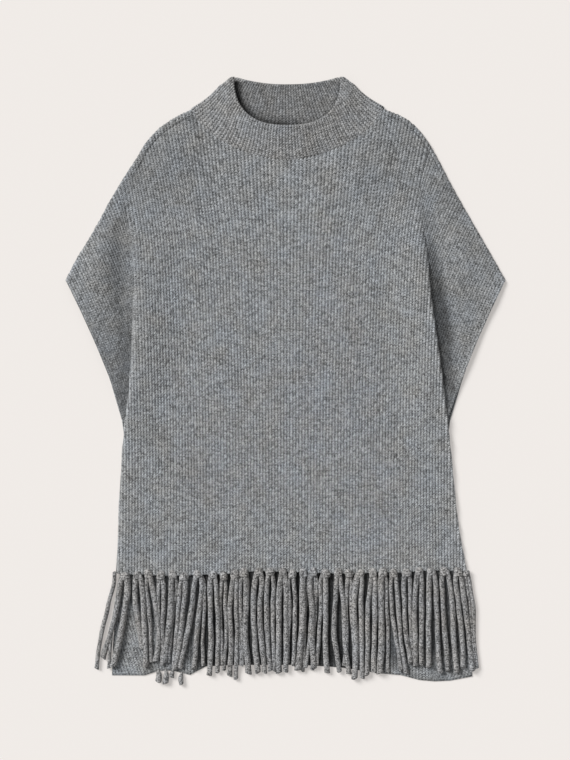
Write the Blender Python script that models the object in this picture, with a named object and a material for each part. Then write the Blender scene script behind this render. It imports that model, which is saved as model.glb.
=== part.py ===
"""Knitted poncho sweater with a funnel neck and a fringed front hem, laid flat on its back.

Units are metres. +X runs to the wearer's left, +Y from the hem to the neck and +Z up from the
surface that the garment lies on. The origin is under the middle of its box, on that surface.

Pieces: the back, which is longer, the front with its two short wing sleeves, the funnel neck and
the front fringe on its narrow heading.
"""

import math
from collections import namedtuple

import bmesh
import bpy
from mathutils import Vector

# The knit
WALL = 0.0024  # between the inside and the bottom of the grooves
RIB_RISE = 0.0008  # how far a rib stands out of the grooves
RIB_PITCH = 0.0046
SEAM_GAP = 0.0005
BODY_RIBS = 110  # across the front at the hem
WING_RIBS = 32
NECK_RIBS = 64  # over the front half of the neck
COLUMNS_PER_RIB = 2

# How the layers lie
BACK_MID = WALL / 2
ROLL_RADIUS = 0.0015  # of the neck where it turns from its front to its back
FRONT_REST = BACK_MID + 2 * ROLL_RADIUS  # height of the front's middle where it lies on the back
ARMHOLE_BOW = 0.0050  # how far the wings' open edges curve inwards
EDGE_INSET = 0.0010  # the front's edges lie this far inside the back's
LOFT = 0.0016  # the front's usual height over its rest
LOFT_WAVE = 0.0007
LOFT_FALL = 0.030  # the loft dies out this far inside the seams
FOLD_FALL = 0.070  # the fold beside a wing dies out over this width of the body

# Rows of the meshes
ROWS_TO_UNDERARM = 3
ROWS_OVER_UNDERARM = 8
WING_ROWS = 4
WING_STEP = WING_RIBS * COLUMNS_PER_RIB // ROWS_OVER_UNDERARM
FOLD_COLUMNS = 20  # columns at each side of the body where its inside keeps every second one
INSIDE_STEP = 4  # and between them the inside keeps one column in this many

HEM_Y = -0.2850
UNDERARM_Y = -0.0720
LEFT, RIGHT = -1, 1

# Sides of the front's body, from the hem up. Over the underarm they part its ribs from a wing's.
Edge = namedtuple("Edge", "y left right")
BODY_EDGES = (
    Edge(-0.2850, -0.2520, 0.2698),
    Edge(-0.2250, -0.2492, 0.2585),
    Edge(-0.1650, -0.2465, 0.2515),
    Edge(-0.1050, -0.2427, 0.2457),
    Edge(-0.0720, -0.2408, 0.2425),
    Edge(0.0000, -0.2340, 0.2345),
    Edge(0.0750, -0.2293, 0.2260),
    Edge(0.1350, -0.2270, 0.2210),
    Edge(0.2000, -0.2290, 0.2190),
    Edge(0.2600, -0.2340, 0.2240),
    Edge(0.3300, -0.2440, 0.2360),
    Edge(0.4100, -0.2640, 0.2560),
)

# The fold beside each wing: its crest, how high that stands and over what width it drops outwards
Fold = namedtuple("Fold", "y left left_lift left_drop right right_lift right_drop")
FOLDS = (
    Fold(-0.2500, -0.2300, 0.0000, 0.020, 0.2450, 0.0000, 0.020),
    Fold(-0.1600, -0.2350, 0.0008, 0.012, 0.2420, 0.0014, 0.010),
    Fold(-0.0720, -0.2380, 0.0024, 0.006, 0.2395, 0.0036, 0.005),
    Fold(0.0000, -0.2330, 0.0056, 0.006, 0.2335, 0.0084, 0.005),
    Fold(0.0750, -0.2290, 0.0066, 0.006, 0.2250, 0.0098, 0.005),
    Fold(0.1350, -0.2240, 0.0062, 0.007, 0.2185, 0.0096, 0.006),
    Fold(0.1900, -0.2170, 0.0048, 0.009, 0.2080, 0.0074, 0.009),
    Fold(0.2400, -0.2110, 0.0026, 0.014, 0.1990, 0.0046, 0.014),
    Fold(0.2950, -0.2060, 0.0000, 0.020, 0.1950, 0.0012, 0.020),
    Fold(0.3400, -0.2060, 0.0000, 0.020, 0.1950, 0.0000, 0.020),
)

# The folded edge of the shoulders, from the neck to the wing tips
Shoulder = namedtuple("Shoulder", "y left right")
SHOULDERS = (
    Shoulder(0.4050, -0.1403, 0.1473),
    Shoulder(0.3930, -0.1640, 0.1760),
    Shoulder(0.3780, -0.1868, 0.1955),
    Shoulder(0.3600, -0.2048, 0.2105),
    Shoulder(0.3300, -0.2240, 0.2285),
    Shoulder(0.3000, -0.2435, 0.2440),
    Shoulder(0.2700, -0.2618, 0.2603),
    Shoulder(0.2400, -0.2780, 0.2775),
    Shoulder(0.2100, -0.2950, 0.2948),
    Shoulder(0.1800, -0.3135, 0.3120),
    Shoulder(0.1490, -0.3293, 0.3293),
)

# Sides of the back, from its hem to the wing tips
Side = namedtuple("Side", "y left right")
BACK_SIDES = (
    Side(-0.4425, -0.2600, 0.2798),
    Side(-0.3900, -0.2585, 0.2785),
    Side(-0.3300, -0.2550, 0.2750),
    Side(-0.2850, -0.2530, 0.2710),
    Side(-0.2250, -0.2502, 0.2595),
    Side(-0.1650, -0.2475, 0.2525),
    Side(-0.1050, -0.2437, 0.2467),
    Side(-0.0720, -0.2418, 0.2435),
    Side(0.0000, -0.2655, 0.2680),
    Side(0.0750, -0.2925, 0.2955),
    Side(0.1150, -0.3100, 0.3125),
)

# The back's lower edge, which waves a little
Hem = namedtuple("Hem", "x y")
BACK_HEM = (
    Hem(-0.2600, -0.4425),
    Hem(-0.2108, -0.4425),
    Hem(-0.1910, -0.4358),
    Hem(-0.1700, -0.4352),
    Hem(-0.1430, -0.4418),
    Hem(-0.1190, -0.4290),
    Hem(-0.0680, -0.4268),
    Hem(0.0220, -0.4268),
    Hem(0.0820, -0.4305),
    Hem(0.1420, -0.4395),
    Hem(0.1720, -0.4418),
    Hem(0.2000, -0.4493),
    Hem(0.2230, -0.4515),
    Hem(0.2468, -0.4505),
    Hem(0.2798, -0.4440),
)

# Rings of the neck from its seam to its top. Each is a flat loop folded at the left and the right;
# the front and the back hang below the folds by their depths, and bend is the loop's exponent:
# 2 is an ellipse and more is squarer. height is that of the front's middle.
Ring = namedtuple("Ring", "left_x left_y right_x right_y front_depth back_depth bend height")
NECK_RINGS = (
    Ring(-0.1403, 0.4050, 0.1473, 0.4073, 0.0773, 0.0308, 1.65, FRONT_REST),
    Ring(-0.1193, 0.4178, 0.1253, 0.4193, 0.0765, 0.0255, 1.90, 0.0062),
    Ring(-0.1043, 0.4305, 0.1095, 0.4313, 0.0750, 0.0195, 2.10, 0.0085),
    Ring(-0.0938, 0.4418, 0.0983, 0.4433, 0.0743, 0.0143, 2.35, 0.0108),
    Ring(-0.0842, 0.4538, 0.0887, 0.4538, 0.0747, 0.0098, 2.50, 0.0128),
)
NECK_BACK_COLUMNS = 22
NECK_FOLD_COLUMNS = 4  # columns at each fold where the inside keeps them all
NECK_INSIDE_STEP = 8

# Fringe: each tassel hangs from the heading at knot and parts into its strands. A tip is where a
# strand ends along X and an end where it ends along Y. The under strand lies below the other two.
Tassel = namedtuple("Tassel", "knot left_tip left_end right_tip right_end under_tip under_end")
TASSELS = (
    Tassel(-0.2550, -0.2810, -0.416, None, None, None, None),
    Tassel(-0.2400, -0.2700, -0.421, -0.2570, -0.427, None, None),
    Tassel(-0.2210, -0.2170, -0.392, -0.2065, -0.425, None, None),
    Tassel(-0.2035, -0.1970, -0.415, None, None, -0.2010, -0.418),
    Tassel(-0.1855, -0.1885, -0.425, None, None, -0.1890, -0.447),
    Tassel(-0.1675, -0.1785, -0.419, None, None, -0.1795, -0.4546),
    Tassel(-0.1510, -0.1660, -0.431, None, None, -0.1685, -0.444),
    Tassel(-0.1300, -0.1540, -0.438, -0.1420, -0.441, -0.1560, -0.453),
    Tassel(-0.1075, -0.1140, -0.443, -0.1020, -0.438, -0.1270, -0.424),
    Tassel(-0.0920, -0.0925, -0.436, None, None, -0.0900, -0.420),
    Tassel(-0.0750, -0.0825, -0.443, -0.0730, -0.447, -0.0680, -0.421),
    Tassel(-0.0605, -0.0565, -0.439, None, None, None, None),
    Tassel(-0.0405, -0.0435, -0.438, -0.0330, -0.437, -0.0500, -0.421),
    Tassel(-0.0225, -0.0240, -0.438, -0.0155, -0.439, None, None),
    Tassel(-0.0045, -0.0070, -0.438, 0.0015, -0.437, -0.0110, -0.422),
    Tassel(0.0110, 0.0110, -0.432, None, None, 0.0060, -0.421),
    Tassel(0.0270, 0.0205, -0.436, None, None, 0.0160, -0.424),
    Tassel(0.0405, 0.0320, -0.434, 0.0420, -0.436, 0.0370, -0.423),
    Tassel(0.0600, 0.0515, -0.404, 0.0620, -0.440, None, None),
    Tassel(0.0790, 0.0770, -0.436, 0.0920, -0.440, 0.0850, -0.424),
    Tassel(0.0950, 0.1035, -0.445, None, None, 0.0980, -0.424),
    Tassel(0.1130, 0.1150, -0.445, None, None, 0.1090, -0.432),
    Tassel(0.1310, 0.1250, -0.441, 0.1345, -0.440, None, None),
    Tassel(0.1455, 0.1440, -0.441, 0.1550, -0.439, 0.1495, -0.434),
    Tassel(0.1625, 0.1665, -0.439, 0.1770, -0.439, 0.1720, -0.430),
    Tassel(0.1815, 0.1870, -0.414, 0.1960, -0.417, None, None),
    Tassel(0.2005, 0.2050, -0.413, None, None, 0.2000, -0.420),
    Tassel(0.2175, 0.2145, -0.417, 0.2290, -0.429, 0.2215, -0.425),
    Tassel(0.2360, 0.2410, -0.436, 0.2540, -0.432, 0.2480, -0.424),
    Tassel(0.2580, 0.2660, -0.428, 0.2775, -0.434, 0.2720, -0.420),
    Tassel(0.2700, 0.2870, -0.433, None, None, None, None),
)
STRAND_WIDTH = 0.0082
STRAND_HEIGHT = 0.0052
UNDER_WIDTH = 0.0066
UNDER_HEIGHT = 0.0036
STRAND_APART = 0.0009
STRAND_STEPS = (0.10, 0.28, 0.50, 0.76, 1.00)  # along a strand, from its root to its end
HEADING_DEPTH = 0.0075  # of the strip that carries the strands, along Y
HEAD_HALF = 0.0052  # half a tassel's head, where two strands leave it
ROOT_HALF = 0.0005  # and half the gap between them
SINGLE_HALF = 0.0026
HEADING_REAR = HEM_Y - 0.0005
HEADING_FRONT = HEADING_REAR - HEADING_DEPTH
UNDER_REST = 0.0030  # undersides of the two layers of strands
UPPER_REST = 0.0072
# Levels of the heading: the lower strand leaves it between the first two, the upper ones between
# the last two
HEAD_LEVELS = (0.0032, 0.0056, 0.0062, 0.0098)
HEADING_LEVELS = (0.0046, 0.0054, 0.0061, 0.0071)

KNIT_COLOUR = (0.235, 0.240, 0.250, 1.0)
FRINGE_COLOUR = (0.255, 0.255, 0.258, 1.0)


def mix(a, b, share):
    return a + (b - a) * share


def smooth(share):
    share = min(1.0, max(0.0, share))
    return share * share * (3 - 2 * share)


def read(rows, name, at, key="y"):
    """The named column of a table at that value of its key column, straight between its rows."""
    rows = sorted(rows, key=lambda row: getattr(row, key))
    if at <= getattr(rows[0], key):
        return getattr(rows[0], name)
    for low, high in zip(rows, rows[1:]):
        start, end = getattr(low, key), getattr(high, key)
        if at <= end:
            return mix(getattr(low, name), getattr(high, name), (at - start) / (end - start))
    return getattr(rows[-1], name)


def spread(points, count):
    """count + 1 points at even distances along a line of points."""
    lengths = [0.0]
    for a, b in zip(points, points[1:]):
        lengths.append(lengths[-1] + (b - a).length)
    made, piece = [], 0
    for step in range(count + 1):
        goal = lengths[-1] * step / count
        while piece < len(points) - 2 and lengths[piece + 1] < goal:
            piece += 1
        span = lengths[piece + 1] - lengths[piece]
        share = min(1.0, (goal - lengths[piece]) / span) if span > 0 else 0.0
        made.append(points[piece].lerp(points[piece + 1], share))
    return made


def height_of_line(points, x):
    """Y at that x of a line of points that runs from left to right."""
    for a, b in zip(points, points[1:]):
        if a.x <= x <= b.x and b.x > a.x:
            return mix(a.y, b.y, (x - a.x) / (b.x - a.x))
    return points[0].y if x < points[0].x else points[-1].y


def material(name, colour):
    made = bpy.data.materials.new(name)
    made.use_nodes = True
    shader = made.node_tree.nodes["Principled BSDF"]
    shader.inputs["Base Color"].default_value = colour
    shader.inputs["Roughness"].default_value = 0.95
    shader.inputs["Metallic"].default_value = 0.0
    return made


def finished_mesh(bm, name):
    """Turns the faces outwards and stores the mesh."""
    bmesh.ops.recalc_face_normals(bm, faces=bm.faces)
    if bm.calc_volume(signed=True) < 0:
        bmesh.ops.reverse_faces(bm, faces=bm.faces)
    mesh = bpy.data.meshes.new(name)
    bm.to_mesh(mesh)
    bm.free()
    return mesh


def stitch(bm, chain, first, last):
    """Triangles between a fine chain of points and the edge from first to last beside it."""
    middle = len(chain) // 2
    for i in range(middle):
        bm.faces.new((chain[i], chain[i + 1], first))
    bm.faces.new((first, chain[middle], last))
    for i in range(middle, len(chain) - 1):
        bm.faces.new((chain[i], chain[i + 1], last))


def join_rims(bm, fine, coarse, walk):
    """Closes the wall's rim along a walk of keys, some of which have no coarse point."""
    kept = [i for i, key in enumerate(walk) if key in coarse]
    for a, b in zip(kept, kept[1:]):
        chain = [fine[key] for key in walk[a : b + 1]]
        stitch(bm, chain, coarse[walk[a]], coarse[walk[b]])


# --- seams ---


def shoulder_line(side, inset):
    """The shoulder's edge from the neck to the wing tip, moved inwards by inset."""
    column = "left" if side == LEFT else "right"
    line = [Vector((getattr(row, column), row.y)) for row in SHOULDERS]
    moved = []
    for i, point in enumerate(line):
        along = line[min(i + 1, len(line) - 1)] - line[max(i - 1, 0)]
        inwards = Vector((along.y, -along.x)).normalized() * side
        moved.append(point + inwards * inset)
    return moved


def neck_edge(ring, share, back=False):
    """A point of a neck ring in plan; share runs from -1 at the left fold to 1 at the right."""
    x = mix(ring.left_x, ring.right_x, (share + 1) / 2)
    fold_y = mix(ring.left_y, ring.right_y, (share + 1) / 2)
    depth = ring.back_depth if back else ring.front_depth
    return Vector((x, fold_y - depth * max(0.0, 1 - abs(share) ** ring.bend) ** (1 / ring.bend)))


def neck_shares(count=90):
    """Shares from -1 to 1, closer together towards the folds."""
    return [-math.cos(math.pi * step / count) for step in range(count + 1)]


def neck_seam(back=False):
    """The edge that a panel's neck is cut to, just outside the neck's lowest ring."""
    ring = NECK_RINGS[0]
    shares = neck_shares()
    line = [neck_edge(ring, share, back) for share in shares]
    moved = []
    for i, point in enumerate(line):
        along = line[min(i + 1, len(line) - 1)] - line[max(i - 1, 0)]
        outwards = Vector((along.y, -along.x)).normalized()
        turn = smooth((abs(shares[i]) - 0.93) / 0.06)  # clears the neck where it turns over
        moved.append(point + outwards * (SEAM_GAP + turn * (WALL / 2 + RIB_RISE)))
    return [point for i, point in enumerate(moved) if i == 0 or point.x > moved[i - 1].x]


def top_edge(back, inset):
    """A panel's upper edge from the left wing tip over the neck to the right wing tip."""
    neck = neck_seam(back)
    left = [p for p in reversed(shoulder_line(LEFT, inset)) if p.x < neck[0].x - 0.002]
    right = [p for p in shoulder_line(RIGHT, inset) if p.x > neck[-1].x + 0.002]
    return left + neck + right


# --- the front ---


def fold_lift(x, y):
    """Height that the folds beside the wings add."""
    total = 0.0
    for side, name in ((LEFT, "left"), (RIGHT, "right")):
        inwards = (read(FOLDS, name, y) - x) * side
        reach = FOLD_FALL if inwards > 0 else read(FOLDS, name + "_drop", y)
        total += read(FOLDS, name + "_lift", y) * smooth(1 - abs(inwards) / reach)
    return total


def front_height(x, y, room):
    """Height of the front's middle; room is the distance to the nearest sewn edge."""
    wave = math.sin(19 * x + 2.1) * math.cos(7 * y - 0.4) + 0.6 * math.sin(31 * x - 9 * y)
    loft = (LOFT + LOFT_WAVE * wave) * smooth(room / LOFT_FALL)
    return FRONT_REST + loft + fold_lift(x, y) * smooth(room / 0.012)


def body_x(share, y):
    return mix(read(BODY_EDGES, "left", y), read(BODY_EDGES, "right", y), share)


def column_top(share, edge):
    """Y where a column of the body meets the front's upper edge."""
    low, high = UNDERARM_Y, SHOULDERS[0].y
    for _ in range(30):
        y = (low + high) / 2
        if y < height_of_line(edge, body_x(share, y)):
            low = y
        else:
            high = y
    return low


def body_points(edge):
    """Middle points of the front's body by (column, row)."""
    columns = BODY_RIBS * COLUMNS_PER_RIB
    points = {}
    for i in range(columns + 1):
        share = i / columns
        top = column_top(share, edge)
        rows = [mix(HEM_Y, UNDERARM_Y, r / ROWS_TO_UNDERARM) for r in range(ROWS_TO_UNDERARM)]
        rows += [mix(UNDERARM_Y, top, r / ROWS_OVER_UNDERARM) for r in range(ROWS_OVER_UNDERARM + 1)]
        for r, y in enumerate(rows):
            x = body_x(share, y)
            aside = min(x - body_x(0, y), body_x(1, y) - x)
            room = top - y if r > ROWS_TO_UNDERARM else min(top - y, aside)
            points["body", i, r] = Vector((x, y, front_height(x, y, room)))
    return points


def wing_points(side, body_top, edge):
    """Middle points of a wing by (column, row), its ribs lying along its open edge."""
    columns = WING_RIBS * COLUMNS_PER_RIB
    share = 0 if side == LEFT else 1
    line = edge if side == LEFT else edge[::-1]
    seam = [p for p in line if p.y < body_top.y - 0.001 and p.x * side > body_top.x * side]
    seam = spread(seam + [body_top.xy], columns)
    points = {}
    for j in range(columns):
        y = mix(UNDERARM_Y, body_top.y, j / columns)
        foot = Vector((body_x(share, y), y))
        first = min(0.25, 0.007 / max(0.001, abs(seam[j].x - foot.x)))
        bow = ARMHOLE_BOW * (1 - j / columns) ** 2
        for w in range(WING_ROWS + 1):
            along = first if w == 1 else w / WING_ROWS
            at = foot.lerp(seam[j], along) - Vector((side * bow * 4 * along * (1 - along), 0))
            room = min(1.0, (1 - along) * (seam[j] - foot).length)
            if j == 0:
                room = min(room, 0.012)
            points["wing", side, j, w] = Vector((at.x, at.y, front_height(at.x, at.y, room)))
    return points


def front_mesh():
    edge = top_edge(False, EDGE_INSET)
    points = body_points(edge)
    columns = BODY_RIBS * COLUMNS_PER_RIB
    wing_columns = WING_RIBS * COLUMNS_PER_RIB
    rows = ROWS_TO_UNDERARM + ROWS_OVER_UNDERARM
    sides = {LEFT: 0, RIGHT: columns}
    for side, column in sides.items():
        points.update(wing_points(side, points["body", column, rows], edge))

    bm = bmesh.new()
    fine = {key: bm.verts.new(point) for key, point in points.items()}
    shared = {}
    for side, column in sides.items():
        for w in range(WING_ROWS + 1):
            fine["wing", side, wing_columns, w] = fine["body", column, rows]
            shared["wing", side, wing_columns, w] = "body", column, rows
        for k in range(ROWS_OVER_UNDERARM):
            key = "wing", side, k * WING_STEP, 0
            bm.verts.remove(fine[key])
            fine[key] = fine["body", column, ROWS_TO_UNDERARM + k]
            shared[key] = "body", column, ROWS_TO_UNDERARM + k

    # The outer skin, still at the wall's middle
    for i in range(columns):
        for r in range(rows):
            if i in (0, columns - 1) and r >= ROWS_TO_UNDERARM:
                continue
            corners = ((i, r), (i + 1, r), (i + 1, r + 1), (i, r + 1))
            bm.faces.new([fine["body", a, b] for a, b in corners])
    for side, column in sides.items():
        beside = column - side
        for k in range(ROWS_OVER_UNDERARM):
            chain = [fine["wing", side, k * WING_STEP + j, 0] for j in range(WING_STEP + 1)]
            r = ROWS_TO_UNDERARM + k
            stitch(bm, chain, fine["body", beside, r], fine["body", beside, r + 1])
        for j in range(wing_columns):
            for w in range(WING_ROWS):
                corners = ((j, w), (j + 1, w), (j + 1, w + 1), (j, w + 1))
                bm.faces.new(dict.fromkeys(fine["wing", side, a, b] for a, b in corners))
    bmesh.ops.recalc_face_normals(bm, faces=bm.faces)
    bm.normal_update()
    normals = {key: (v.normal if v.normal.z > 0 else -v.normal).copy() for key, v in fine.items()}
    middles = {key: v.co.copy() for key, v in fine.items()}

    # The plain inside, on few columns
    inside_columns = list(range(0, FOLD_COLUMNS, 2))
    inside_columns += list(range(FOLD_COLUMNS, columns - FOLD_COLUMNS, INSIDE_STEP))
    inside_columns += list(range(columns - FOLD_COLUMNS, columns + 1, 2))
    wing_inside = range(0, wing_columns, WING_STEP)
    kept = [("body", i, r) for i in inside_columns for r in range(rows + 1)]
    for side in sides:
        kept += [("wing", side, j, w) for j in wing_inside for w in range(1, WING_ROWS + 1)]
    coarse = {key: bm.verts.new(middles[key] - normals[key] * WALL / 2) for key in kept}
    for key, other in shared.items():
        coarse[key] = coarse[other]
    for a, b in zip(inside_columns, inside_columns[1:]):
        for r in range(rows):
            corners = ((a, r), (b, r), (b, r + 1), (a, r + 1))
            bm.faces.new([coarse["body", c, d] for c, d in corners])
    for side in sides:
        for j in wing_inside:
            for w in range(WING_ROWS):
                corners = ((j, w), (j + WING_STEP, w), (j + WING_STEP, w + 1), (j, w + 1))
                bm.faces.new(dict.fromkeys(coarse["wing", side, a, b] for a, b in corners))

    # Ribs on the outer skin
    for key in points:
        if fine[key].is_valid and key not in shared:
            raised = key[-2] % 2
            pitch = 1.0
            if key[0] == "body" and 0 < key[1] < columns:
                before, after = ("body", key[1] - 1, key[2]), ("body", key[1] + 1, key[2])
                pitch = min(1.0, (middles[after] - middles[before]).length / RIB_PITCH)
            if key[0] == "wing" and key[3] == 0:
                raised = 0
            fine[key].co = middles[key] + normals[key] * (WALL / 2 + RIB_RISE * raised * pitch)

    # The rim: hem, right side and wing, upper edge, left wing and side
    walk = [("body", i, 0) for i in range(columns + 1)]
    walk += [("body", columns, r) for r in range(1, ROWS_TO_UNDERARM + 1)]
    walk += [("wing", RIGHT, 0, w) for w in range(1, WING_ROWS + 1)]
    walk += [("wing", RIGHT, j, WING_ROWS) for j in range(1, wing_columns)]
    walk += [("body", i, rows) for i in range(columns, -1, -1)]
    walk += [("wing", LEFT, j, WING_ROWS) for j in range(wing_columns - 1, 0, -1)]
    walk += [("wing", LEFT, 0, w) for w in range(WING_ROWS, 0, -1)]
    walk += [("body", 0, r) for r in range(ROWS_TO_UNDERARM, -1, -1)]
    join_rims(bm, fine, coarse, walk)
    return finished_mesh(bm, "front")


# --- the back ---


def back_mesh():
    """A flat sheet: up its right side, over its upper edge, down its left side, along its hem."""
    outline = [Vector((side.right, side.y)) for side in BACK_SIDES]
    outline += reversed(top_edge(True, 0.0))
    outline += [Vector((side.left, side.y)) for side in reversed(BACK_SIDES)]
    outline += [Vector((hem.x, hem.y)) for hem in BACK_HEM[1:-1]]
    bm = bmesh.new()
    under = [bm.verts.new((point.x, point.y, 0.0)) for point in outline]
    upper = [bm.verts.new((point.x, point.y, WALL)) for point in outline]
    for i in range(len(outline)):
        after = (i + 1) % len(outline)
        bm.faces.new((under[i], under[after], upper[after], upper[i]))
    bm.faces.new(under)
    bm.faces.new(upper)
    bmesh.ops.triangulate(bm, faces=[face for face in bm.faces if len(face.verts) > 4])
    return finished_mesh(bm, "back")


# --- the neck ---


def neck_half(ring, back):
    """Half a ring, from the middle of its left turn to the middle of its right turn."""
    line = []
    for share in neck_shares():
        at = neck_edge(ring, share, back)
        open_share = max(0.0, 1 - share * share) ** 0.7
        high = BACK_MID if back else mix(FRONT_REST, ring.height, open_share)
        line.append(Vector((at.x, at.y, high)))
    turn = []
    for step in range(6):
        angle = math.pi / 2 * step / 6
        rise = ROLL_RADIUS * (1 - math.sin(angle) * (1 if back else -1))
        turn.append((ROLL_RADIUS * math.cos(angle), BACK_MID + rise))
    left = [Vector((ring.left_x - out, ring.left_y, high)) for out, high in turn]
    right = [Vector((ring.right_x + out, ring.right_y, high)) for out, high in turn]
    return left + line + right[::-1]


def neck_mesh():
    front_columns = NECK_RIBS * COLUMNS_PER_RIB
    columns = front_columns + NECK_BACK_COLUMNS
    bm = bmesh.new()
    fine = {}
    for k, ring in enumerate(NECK_RINGS):
        loop = spread(neck_half(ring, False), front_columns)[:-1]
        loop += spread(neck_half(ring, True)[::-1], NECK_BACK_COLUMNS)[:-1]
        for i, point in enumerate(loop):
            fine[i, k] = bm.verts.new(point)
    rings = len(NECK_RINGS)
    for i in range(columns):
        after = (i + 1) % columns
        for k in range(rings - 1):
            bm.faces.new((fine[i, k], fine[after, k], fine[after, k + 1], fine[i, k + 1]))
    bmesh.ops.recalc_face_normals(bm, faces=bm.faces)
    bm.normal_update()
    way = 1 if fine[front_columns // 2, 1].normal.z > 0 else -1
    normals = {key: vert.normal * way for key, vert in fine.items()}
    inside = [
        i
        for i in range(columns)
        if i > front_columns
        or min(i, front_columns - i) <= NECK_FOLD_COLUMNS
        or i % NECK_INSIDE_STEP == 0
    ]
    coarse = {}
    for i in inside:
        for k in range(rings):
            point = fine[i, k].co - normals[i, k] * WALL / 2
            coarse[i, k] = bm.verts.new(point)
    for a, b in zip(inside, inside[1:] + inside[:1]):
        for k in range(rings - 1):
            bm.faces.new((coarse[a, k], coarse[b, k], coarse[b, k + 1], coarse[a, k + 1]))
    for (i, k), vert in fine.items():
        raised = RIB_RISE * (i % 2) if i < front_columns else 0.0
        vert.co += normals[i, k] * (WALL / 2 + raised)
    for (i, k), vert in list(fine.items()) + list(coarse.items()):
        vert.co.z = max(0.0, vert.co.z)
    for k in (0, rings - 1):
        join_rims(bm, fine, coarse, [(i, k) for i in range(columns)] + [(0, k)])
    return finished_mesh(bm, "neck_band")


# --- the fringe ---


def strand_list():
    """Every strand as (upper, root x, root half width, tip x, end y), from left to right."""
    strands = []
    for tassel in TASSELS:
        half = (HEAD_HALF - ROOT_HALF) / 2
        if tassel.right_tip is None:
            strands.append((True, tassel.knot, SINGLE_HALF, tassel.left_tip, tassel.left_end))
            under = tassel.knot, SINGLE_HALF
        else:
            left, right = tassel.knot - ROOT_HALF - half, tassel.knot + ROOT_HALF + half
            strands.append((True, left, half, tassel.left_tip, tassel.left_end))
            strands.append((True, right, half, tassel.right_tip, tassel.right_end))
            under = left, half
        if tassel.under_tip is not None:
            strands.append((False, *under, tassel.under_tip, tassel.under_end))
    return strands


def strand_x(strand, y):
    """X of a strand's middle at that y; it leaves the heading straight down and then leans."""
    _, root_x, _, tip_x, end_y = strand
    along = min(1.0, max(0.0, (y - HEADING_FRONT) / (end_y - HEADING_FRONT)))
    return mix(root_x, tip_x, along * (0.55 + 0.45 * along))


def strand_width(strand, others, y):
    """Width of a strand at that y, narrowed where its neighbours lie close."""
    here = strand_x(strand, y)
    wide = STRAND_WIDTH if strand[0] else UNDER_WIDTH
    near = [abs(strand_x(other, y) - here) for other in others if other is not strand]
    return min(wide, min(near) - STRAND_APART)


def strand_rings(strand, others):
    """Corner points of a strand's sections after its root, each low left, low right and on."""
    upper = strand[0]
    end_y = strand[4]
    rings = []
    for along in STRAND_STEPS:
        y = mix(HEADING_FRONT, end_y, along)
        x = strand_x(strand, y)
        half = strand_width(strand, others, y) / 2
        low = mix(HEAD_LEVELS[2] + 0.0010, UPPER_REST, smooth(along * 3)) if upper else UNDER_REST
        tall = (STRAND_HEIGHT if upper else UNDER_HEIGHT) * (0.86 if along == 1 else 1.0)
        top = half * 0.58
        corners = ((-half, low), (half, low), (top, low + tall), (-top, low + tall))
        rings.append([Vector((x + out, y, high)) for out, high in corners])
    return rings


def fringe_mesh():
    """A heading with a head for each tassel; strands leave the heads' lower and upper bands."""
    strands = strand_list()
    layers = {upper: [s for s in strands if s[0] == upper] for upper in (True, False)}
    bm = bmesh.new()

    # Breaks of the heading along X: where, its levels, and the root that starts there
    breaks = []
    for number, tassel in enumerate(TASSELS):
        if number:
            middle = (TASSELS[number - 1].knot + tassel.knot) / 2
            breaks.append((middle, HEADING_LEVELS))
        offsets = (-HEAD_HALF, -ROOT_HALF, ROOT_HALF, HEAD_HALF)
        if tassel.right_tip is None:
            offsets = (-SINGLE_HALF, SINGLE_HALF)
        breaks += [(tassel.knot + offset, HEAD_LEVELS) for offset in offsets]
    sections = []
    for x, levels in breaks:
        front = [bm.verts.new((x, HEADING_FRONT, level)) for level in levels]
        rear = [bm.verts.new((x, HEADING_REAR, level)) for level in (levels[3], levels[0])]
        sections.append(front + rear)

    roots = {}
    for strand in strands:
        upper, root_x = strand[0], strand[1]
        cell = max(i for i, (x, _) in enumerate(breaks) if x < root_x)
        roots[cell, 2 if upper else 0] = strand
    for i, (here, after) in enumerate(zip(sections, sections[1:])):
        for band in range(6):
            low, high = band, (band + 1) % 6
            corners = (here[low], after[low], after[high], here[high])
            strand = roots.get((i, band))
            if strand is None:
                bm.faces.new(corners)
                continue
            last = corners
            for points in strand_rings(strand, layers[strand[0]]):
                ring = [bm.verts.new(point) for point in points]
                for c in range(4):
                    bm.faces.new((last[c], last[c - 3], ring[c - 3], ring[c]))
                last = ring
            bm.faces.new(last)
    bm.faces.new(sections[0])
    bm.faces.new(sections[-1])
    return finished_mesh(bm, "fringe")


def build():
    for old in list(bpy.data.objects):
        bpy.data.objects.remove(old)
    collection = bpy.data.collections.new("knitted_poncho_sweater")
    bpy.context.scene.collection.children.link(collection)
    pieces = (
        ("front", front_mesh, "front_knit", KNIT_COLOUR),
        ("back", back_mesh, "back_knit", KNIT_COLOUR),
        ("neck_band", neck_mesh, "neck_knit", KNIT_COLOUR),
        ("fringe", fringe_mesh, "fringe_yarn", FRINGE_COLOUR),
    )
    for name, make, slot, colour in pieces:
        piece = bpy.data.objects.new(name, make())
        piece.data.materials.append(material(slot, colour))
        collection.objects.link(piece)


build()
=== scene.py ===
"""Looks of a knitted poncho sweater laid flat: ribbed panels, funnel neck, knotted fringe, stage."""

import math
from collections import namedtuple

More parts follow.
